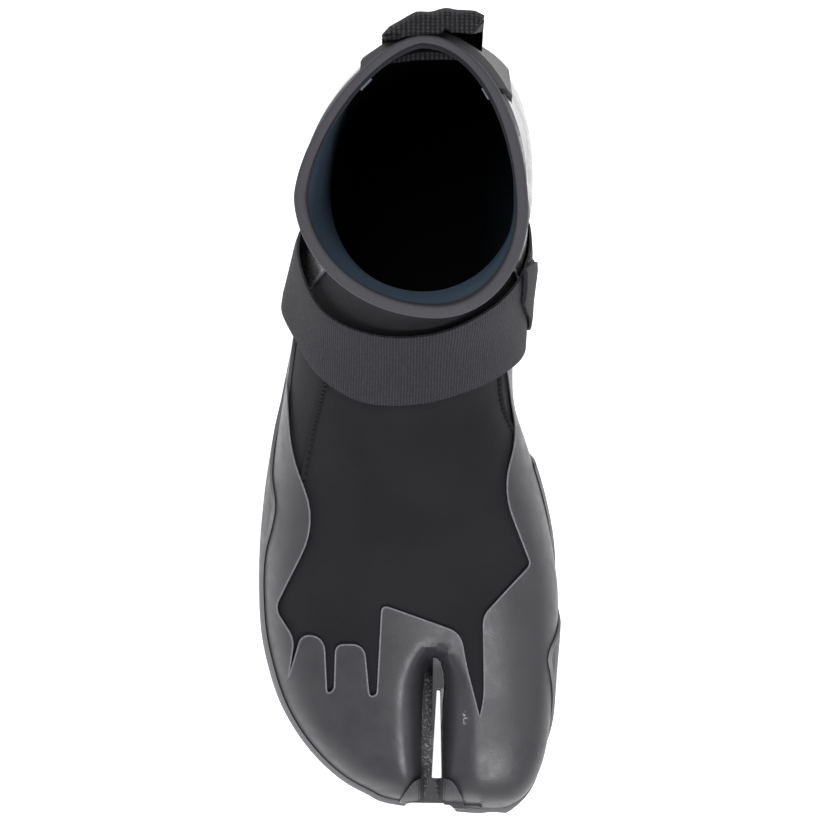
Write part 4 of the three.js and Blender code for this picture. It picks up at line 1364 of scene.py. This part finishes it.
def finish_off(
    tree: bpy.types.NodeTree,
    colour: Any,
    roughness: Any,
    height: bpy.types.NodeSocket | None = None,
    depth_mm: float = 0.1,
    settings: dict[str, Any] | None = None,
) -> None:
    """Ends a material in its shader.

    Args:
        tree: The material's nodes.
        colour: Its colour, or a socket.
        roughness: Its roughness, or a socket.
        height: Its relief from 0 to 1.
        depth_mm: How deep that relief is.
        settings: Further values of the shader.
    """
    values = {**(settings or {}), "Base Color": colour, "Roughness": roughness}
    shader = add_node(tree, "ShaderNodeBsdfPrincipled", values)
    if height is not None:
        relief = {"Strength": 1.0, "Distance": depth_mm * MM}
        bump = add_node(tree, "ShaderNodeBump", relief, {"Height": height})
        tree.links.new(bump.outputs[0], shader.inputs["Normal"])
    add_node(tree, "ShaderNodeOutputMaterial", None, {"Surface": shader.outputs[0]})


@dataclass(frozen=True)
class Jersey:
    """Neoprene foam faced with a matte knitted jersey: no shine, a faint nap and a few specks of lint."""

    name: str = "neoprene_jersey"
    colour: str = "#1e1e21"
    in_patches: str = "#232326"
    lint: str = "#3c3c40"
    knit_mm: float = 0.9
    patch_mm: float = 26.0

    def make(self) -> bpy.types.Material:
        """Builds the material."""
        material, tree = blank(self.name)
        span = {0: grain(tree, self.patch_mm, 3), 1: 0.35, 2: 0.7, "clamp": True}
        cloud = add_node(tree, "ShaderNodeMapRange", span).outputs[0]
        mix = {"data_type": "RGBA", 0: cloud, 6: linear(self.colour), 7: linear(self.in_patches)}
        base = add_node(tree, "ShaderNodeMix", mix).outputs[2]
        span = {0: grain(tree, 1.5, 4, 0.65), 1: 0.73, 2: 0.78, "clamp": True}
        specks = add_node(tree, "ShaderNodeMapRange", span).outputs[0]
        mix = {"data_type": "RGBA", 0: specks, 6: base, 7: linear(self.lint)}
        base = add_node(tree, "ShaderNodeMix", mix).outputs[2]
        nap = {"Sheen Weight": 0.05, "Sheen Roughness": 0.5, "Specular IOR Level": 0.15}
        finish_off(tree, base, 0.92, grain(tree, self.knit_mm, 2), 0.16, nap)
        return material


@dataclass(frozen=True)
class Lining:
    """Brushed slate-blue lining, with painted shade: black towards the back and further down inside."""

    name: str = "brushed_lining"
    light: str = "#465564"
    painted_shade: str = "#07080a"
    loop_mm: float = 1.1

    def make(self) -> bpy.types.Material:
        """Builds the material."""
        material, tree = blank(self.name)
        place = add_node(tree, "ShaderNodeTexCoord").outputs["Object"]
        parts = add_node(tree, "ShaderNodeSeparateXYZ", None, {0: place})
        # Painted shade: the lining darkens to black lower down and towards the back, where little light
        # reaches.
        span = {0: parts.outputs["Z"], 1: 0.012, 2: 0.06, "clamp": True}
        upper = add_node(tree, "ShaderNodeMapRange", span).outputs[0]
        span = {0: parts.outputs["Y"], 1: 0.014, 2: -0.014, "clamp": True}
        front = add_node(tree, "ShaderNodeMapRange", span).outputs[0]
        both = add_node(tree, "ShaderNodeMath", {"operation": "MULTIPLY"}, {0: upper, 1: front}).outputs[0]
        mix = {"data_type": "RGBA", 0: both, 6: linear(self.painted_shade), 7: linear(self.light)}
        base = add_node(tree, "ShaderNodeMix", mix).outputs[2]
        pile = {"Specular IOR Level": 0.1}
        finish_off(tree, base, 0.95, grain(tree, self.loop_mm, 3), 0.2, pile)
        return material


@dataclass(frozen=True)
class Moulded:
    """Thin moulded rubber: satin, finely grained, pale along its edges from wear and a painted highlight."""

    name: str
    colour: str
    deep: str
    worn_and_highlit: str
    shine: float
    dull: float
    grain_mm: float = 0.5
    grain_depth: float = 0.05
    edge_mm: float = 0.6
    edge_share: float = 0.6
    grit: str = "#8d8d90"
    scuff: tuple[float, float, float] = (20.4, -207.0, 2.6)  # X, Y and radius in mm of a rubbed spot
    scuffed: bool = False

    def make(self) -> bpy.types.Material:
        """Builds the material."""
        material, tree = blank(self.name)
        span = {0: grain(tree, 18, 4), 1: 0.3, 2: 0.72, "clamp": True}
        cloud = add_node(tree, "ShaderNodeMapRange", span).outputs[0]
        mix = {"data_type": "RGBA", 0: cloud, 6: linear(self.deep), 7: linear(self.colour)}
        base = add_node(tree, "ShaderNodeMix", mix).outputs[2]
        # Pale along the edges: partly wear, partly a painted highlight where the edges catch the light.
        edge = add_node(tree, "ShaderNodeAttribute", {"attribute_name": "edge"}).outputs["Fac"]
        span = {0: edge, 1: self.edge_mm, 2: 0.1, "clamp": True}
        near = add_node(tree, "ShaderNodeMapRange", span).outputs[0]
        share = {"operation": "MULTIPLY", 1: self.edge_share}
        near = add_node(tree, "ShaderNodeMath", share, {0: near}).outputs[0]
        mix = {"data_type": "RGBA", 0: near, 6: base, 7: linear(self.worn_and_highlit)}
        base = add_node(tree, "ShaderNodeMix", mix).outputs[2]
        grit = add_node(tree, "ShaderNodeAttribute", {"attribute_name": "grit"}).outputs["Fac"]
        span = {0: grain(tree, 0.9, 4, 0.7), 1: 0.54, 2: 0.6, "clamp": True}
        grains = add_node(tree, "ShaderNodeMapRange", span).outputs[0]
        grit = add_node(tree, "ShaderNodeMath", {"operation": "MULTIPLY"}, {0: grit, 1: grains}).outputs[0]
        mix = {"data_type": "RGBA", 0: grit, 6: base, 7: linear(self.grit)}
        base = add_node(tree, "ShaderNodeMix", mix).outputs[2]
        if self.scuffed:
            mix = {"data_type": "RGBA", 0: self.rubbed_spot(tree), 6: base, 7: linear(self.grit)}
            base = add_node(tree, "ShaderNodeMix", mix).outputs[2]
        polish = {1: 0.3, 2: 0.7, 3: self.shine, 4: self.dull}
        rough = add_node(tree, "ShaderNodeMapRange", polish, {0: grain(tree, 5, 5, 0.6)}).outputs[0]
        finish_off(tree, base, rough, grain(tree, self.grain_mm, 3, 0.6), self.grain_depth)
        return material

    def rubbed_spot(self, tree: bpy.types.NodeTree) -> bpy.types.NodeSocket:
        """A small spot where the rubber is rubbed pale in patches."""
        place = add_node(tree, "ShaderNodeTexCoord").outputs["Object"]
        x, y, radius = (value * MM for value in self.scuff)
        flat = add_node(tree, "ShaderNodeVectorMath", {"operation": "MULTIPLY", 1: (2, 1, 0)}, {0: place})
        middle = {"operation": "DISTANCE", 1: (2 * x, y, 0)}
        away = add_node(tree, "ShaderNodeVectorMath", middle, {0: flat.outputs[0]}).outputs["Value"]
        span = {0: away, 1: radius, 2: radius * 0.6, "clamp": True}
        near = add_node(tree, "ShaderNodeMapRange", span).outputs[0]
        span = {0: grain(tree, 1.1, 3, 0.6), 1: 0.5, 2: 0.56, "clamp": True}
        patches = add_node(tree, "ShaderNodeMapRange", span).outputs[0]
        return add_node(tree, "ShaderNodeMath", {"operation": "MULTIPLY"}, {0: near, 1: patches}).outputs[0]


@dataclass(frozen=True)
class Ribbed:
    """Rubber moulded with fine straight ribs."""

    name: str = "ribbed_rubber"
    colour: str = "#2f2f32"
    rib_mm: float = 2.0
    rib_depth: float = 0.5
    axis: str = "Z"

    def make(self) -> bpy.types.Material:
        """Builds the material."""
        material, tree = blank(self.name)
        place = add_node(tree, "ShaderNodeTexCoord").outputs["Object"]
        settings = {"bands_direction": self.axis, "Scale": 0.314 / (self.rib_mm * MM), "Distortion": 0.0}
        wave = add_node(tree, "ShaderNodeTexWave", settings, {"Vector": place}).outputs["Fac"]
        finish_off(tree, linear(self.colour), 0.5, wave, self.rib_depth)
        return material


@dataclass(frozen=True)
class Weave:
    """Woven polyester webbing: ribs across the strip, threads along it, and a painted highlight on the raised
    weave.
    """

    name: str = "woven_webbing"
    colour: str = "#232327"
    highlit_ridges: str = "#47474e"
    rib_mm: float = 1.05
    thread_mm: float = 0.7
    depth_mm: float = 0.22

    def make(self) -> bpy.types.Material:
        """Builds the material."""
        material, tree = blank(self.name)
        waves = []
        for attribute, size in (("along", self.rib_mm), ("across", self.thread_mm)):
            place = add_node(tree, "ShaderNodeAttribute", {"attribute_name": attribute}).outputs["Fac"]
            turn = {"operation": "MULTIPLY", 1: 2 * math.pi / size}
            angle = add_node(tree, "ShaderNodeMath", turn, {0: place}).outputs[0]
            wave = add_node(tree, "ShaderNodeMath", {"operation": "SINE"}, {0: angle}).outputs[0]
            span = {0: wave, 1: -1, 2: 1, "clamp": True}
            waves.append(add_node(tree, "ShaderNodeMapRange", span).outputs[0])
        crossed = {0: waves[0], 1: waves[1]}
        both = add_node(tree, "ShaderNodeMath", {"operation": "MULTIPLY"}, crossed).outputs[0]
        fuzz = grain(tree, 0.8, 3)
        lift = {"operation": "MULTIPLY_ADD", 1: 0.6}
        both = add_node(tree, "ShaderNodeMath", lift, {0: waves[0], 2: both}).outputs[0]
        span = {0: both, 1: 0, 2: 1.6, "clamp": True}
        height = add_node(tree, "ShaderNodeMapRange", span).outputs[0]
        span = {0: fuzz, 1: 0.2, 2: 0.7, "clamp": True}
        in_patches = add_node(tree, "ShaderNodeMapRange", span).outputs[0]
        mixed = add_node(tree, "ShaderNodeMath", {"operation": "MULTIPLY"}, {0: height, 1: in_patches})
        # Painted highlight: the raised weave is coloured lighter, in patches.
        mix = {"data_type": "RGBA", 0: mixed.outputs[0], 6: linear(self.colour), 7: linear(self.highlit_ridges)}
        base = add_node(tree, "ShaderNodeMix", mix).outputs[2]
        finish_off(tree, base, 0.78, height, self.depth_mm, {"Specular IOR Level": 0.25})
        return material


@dataclass(frozen=True)
class Bound:
    """The collar's glued and rolled edge: grey, with a pale inner line and a warm dark outer one."""

    name: str = "rolled_edge"
    face: str = "#3f3e43"
    inner: str = "#6a717a"
    outer: str = "#3a2f30"

    def make(self) -> bpy.types.Material:
        """Builds the material."""
        material, tree = blank(self.name)
        across = add_node(tree, "ShaderNodeAttribute", {"attribute_name": "across"}).outputs["Fac"]
        span = {0: across, 1: -10.1, 2: -10.6, "clamp": True}
        inner = add_node(tree, "ShaderNodeMapRange", span).outputs[0]
        span = {0: across, 1: 1.9, 2: 2.6, "clamp": True}
        outer = add_node(tree, "ShaderNodeMapRange", span).outputs[0]
        mix = {"data_type": "RGBA", 0: inner, 6: linear(self.face), 7: linear(self.inner)}
        base = add_node(tree, "ShaderNodeMix", mix).outputs[2]
        mix = {"data_type": "RGBA", 0: outer, 6: base, 7: linear(self.outer)}
        base = add_node(tree, "ShaderNodeMix", mix).outputs[2]
        finish_off(tree, base, 0.7, grain(tree, 0.9, 3), 0.1, {"Specular IOR Level": 0.3})
        return material


@dataclass(frozen=True)
class Plain:
    """A small part of one colour with a little grain, such as thread or tape."""

    name: str
    colour: str
    roughness: float
    grain_mm: float = 0.6

    def make(self) -> bpy.types.Material:
        """Builds the material."""
        material, tree = blank(self.name)
        span = {0: grain(tree, self.grain_mm * 4, 3), 1: 0.3, 2: 0.7, "clamp": True}
        cloud = add_node(tree, "ShaderNodeMapRange", span).outputs[0]
        low, high = linear(self.colour), tuple(min(1.0, c * 1.5) for c in linear(self.colour))
        mix = {"data_type": "RGBA", 0: cloud, 6: low, 7: high}
        base = add_node(tree, "ShaderNodeMix", mix).outputs[2]
        finish_off(tree, base, self.roughness, grain(tree, self.grain_mm, 2), 0.05)
        return material


class Finishes:
    """All of the boot's materials, made once."""

    def __init__(self) -> None:
        """Makes each material."""
        self.neoprene = Jersey().make()
        self.lining = Lining().make()
        self.binding = Bound().make()
        # Thin satin rubber, cast in one piece with a fine grain, a little pale along its edges: wear and
        # painted highlight.
        panel = Moulded("panel_rubber", "#38383c", "#303034", "#626267", 0.34, 0.5, scuffed=True)
        self.panel = panel.make()
        # The lip moulded along the panel's claw edge, a little lighter than the panel: partly wear, partly
        # painted highlight.
        self.bead = Plain("moulded_bead", "#606065", 0.35, 0.3).make()
        # Harder rubber of the sole, duller than the panels, with a pale lip: partly wear, partly a painted
        # highlight.
        self.sole = Moulded("sole_rubber", "#343438", "#2b2b2f", "#808084", 0.42, 0.58).make()
        # Glossy calendered rubber round the heel, with a painted reflection of the pale room along its edges.
        self.heel = Moulded("gloss_rubber", "#4a4a4c", "#3a3a3c", "#8f8f92", 0.16, 0.3).make()
        self.ribbed = Ribbed().make()
        # Fine lengthwise ribs, under a millimetre apart, on the bridge between the toes.
        self.bridge = Ribbed("bridge_rubber", "#38383b", 0.9, 0.12, "X").make()
        self.webbing = Weave().make()
        # The loop's coarser and blacker webbing, whose dots carry a painted highlight.
        self.loop = Weave("loop_webbing", "#0f0f11", "#48484d", 1.6, 1.2, 0.35).make()
        self.thread = Plain("nylon_thread", "#101012", 0.6).make()
        # Ends of the heat-pressed tape over the collar's seams.
        self.tape = Plain("seam_tape", "#6b7178", 0.6).make()


# Studio


@dataclass
class Studio:
    """The camera at the photograph's angle, the pale floor and the soft lights."""

    elevation: float = 84.0
    azimuth: float = 0.8
    distance: float = 1200.0
    aim: tuple[float, float, float] = (-0.7, -99.2, 60.0)
    focal_px: float = 3396.0
    frame_px: float = 820.0

    def build(self) -> None:
        """Sets up the camera, floor, lights and sky."""
        self.camera()
        deselect()
        bpy.ops.mesh.primitive_plane_add(size=8)
        floor = named("floor")
        material, tree = blank("floor")
        shader = add_node(
            tree,
            "ShaderNodeBsdfPrincipled",
            {
                "Base Color": linear("#dcdcdc"),
                "Roughness": 1.0,
                "Emission Color": WHITE,
                "Emission Strength": 0.9,
            },
        )
        add_node(tree, "ShaderNodeOutputMaterial", None, {"Surface": shader.outputs[0]})
        floor.data.materials.append(material)
        self.lamp("top_light", (-0.25, 0.35, 1.5), 0.9, 11)
        self.lamp("left_light", (-1.1, -0.2, 0.7), 0.8, 2.6)
        self.lamp("right_light", (1.0, -0.15, 0.8), 0.6, 2.6)
        self.lamp("toe_light", (0.2, -0.85, 0.95), 0.35, 9)
        world = bpy.data.worlds.new("studio")
        bpy.context.scene.world = world
        world.use_nodes = True
        sky = world.node_tree.nodes["Background"]
        sky.inputs["Color"].default_value = WHITE
        sky.inputs["Strength"].default_value = 0.3
        bpy.context.scene.view_settings.view_transform = "Standard"

    def camera(self) -> None:
        """Places the camera and aims it."""
        up, round_it = math.radians(self.elevation), math.radians(self.azimuth)
        out = Vector((math.sin(round_it) * math.cos(up), -math.cos(round_it) * math.cos(up), math.sin(up)))
        aim = Vector(self.aim)
        place = aim + out * self.distance
        right = Vector((math.cos(round_it), math.sin(round_it), 0))
        top = out.cross(right)
        data = bpy.data.cameras.new("camera")
        data.sensor_width = 36
        data.lens = 36 * self.focal_px / self.frame_px
        data.clip_start = 0.01
        camera = bpy.data.objects.new("camera", data)
        bpy.context.scene.collection.objects.link(camera)
        camera.matrix_world = Matrix.Translation(place * MM) @ Matrix((right, top, out)).transposed().to_4x4()
        bpy.context.scene.camera = camera

    def lamp(self, name: str, place: tuple[float, float, float], size: float, watts: float) -> None:
        """A square soft light aimed at the middle of the boot."""
        data = bpy.data.lights.new(name, "AREA")
        data.size = size
        data.energy = watts
        lamp = bpy.data.objects.new(name, data)
        bpy.context.scene.collection.objects.link(lamp)
        lamp.location = place
        toward = Vector((0, -0.1, 0.05)) - Vector(place)
        lamp.rotation_euler = toward.to_track_quat("-Z", "Y").to_euler()


def main() -> None:
    """Builds the boot and its studio."""
    logging.basicConfig(level=logging.INFO, format="%(message)s")
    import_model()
    Studio().build()
    finishes = Finishes()
    skins = Skins(Last())
    Upper(skins).build(finishes)
    ToePanel(skins).build(finishes)
    Outsole(skins).build(finishes)
    Heel(skins).build(finishes)
    Webbing(skins).build(finishes)
    Seams(skins).build(finishes)
    for piece in bpy.context.scene.objects:
        if piece.type == "MESH":
            LOG.info("%s: %d faces", piece.name, len(piece.data.polygons))


if __name__ == "__main__":
    main()
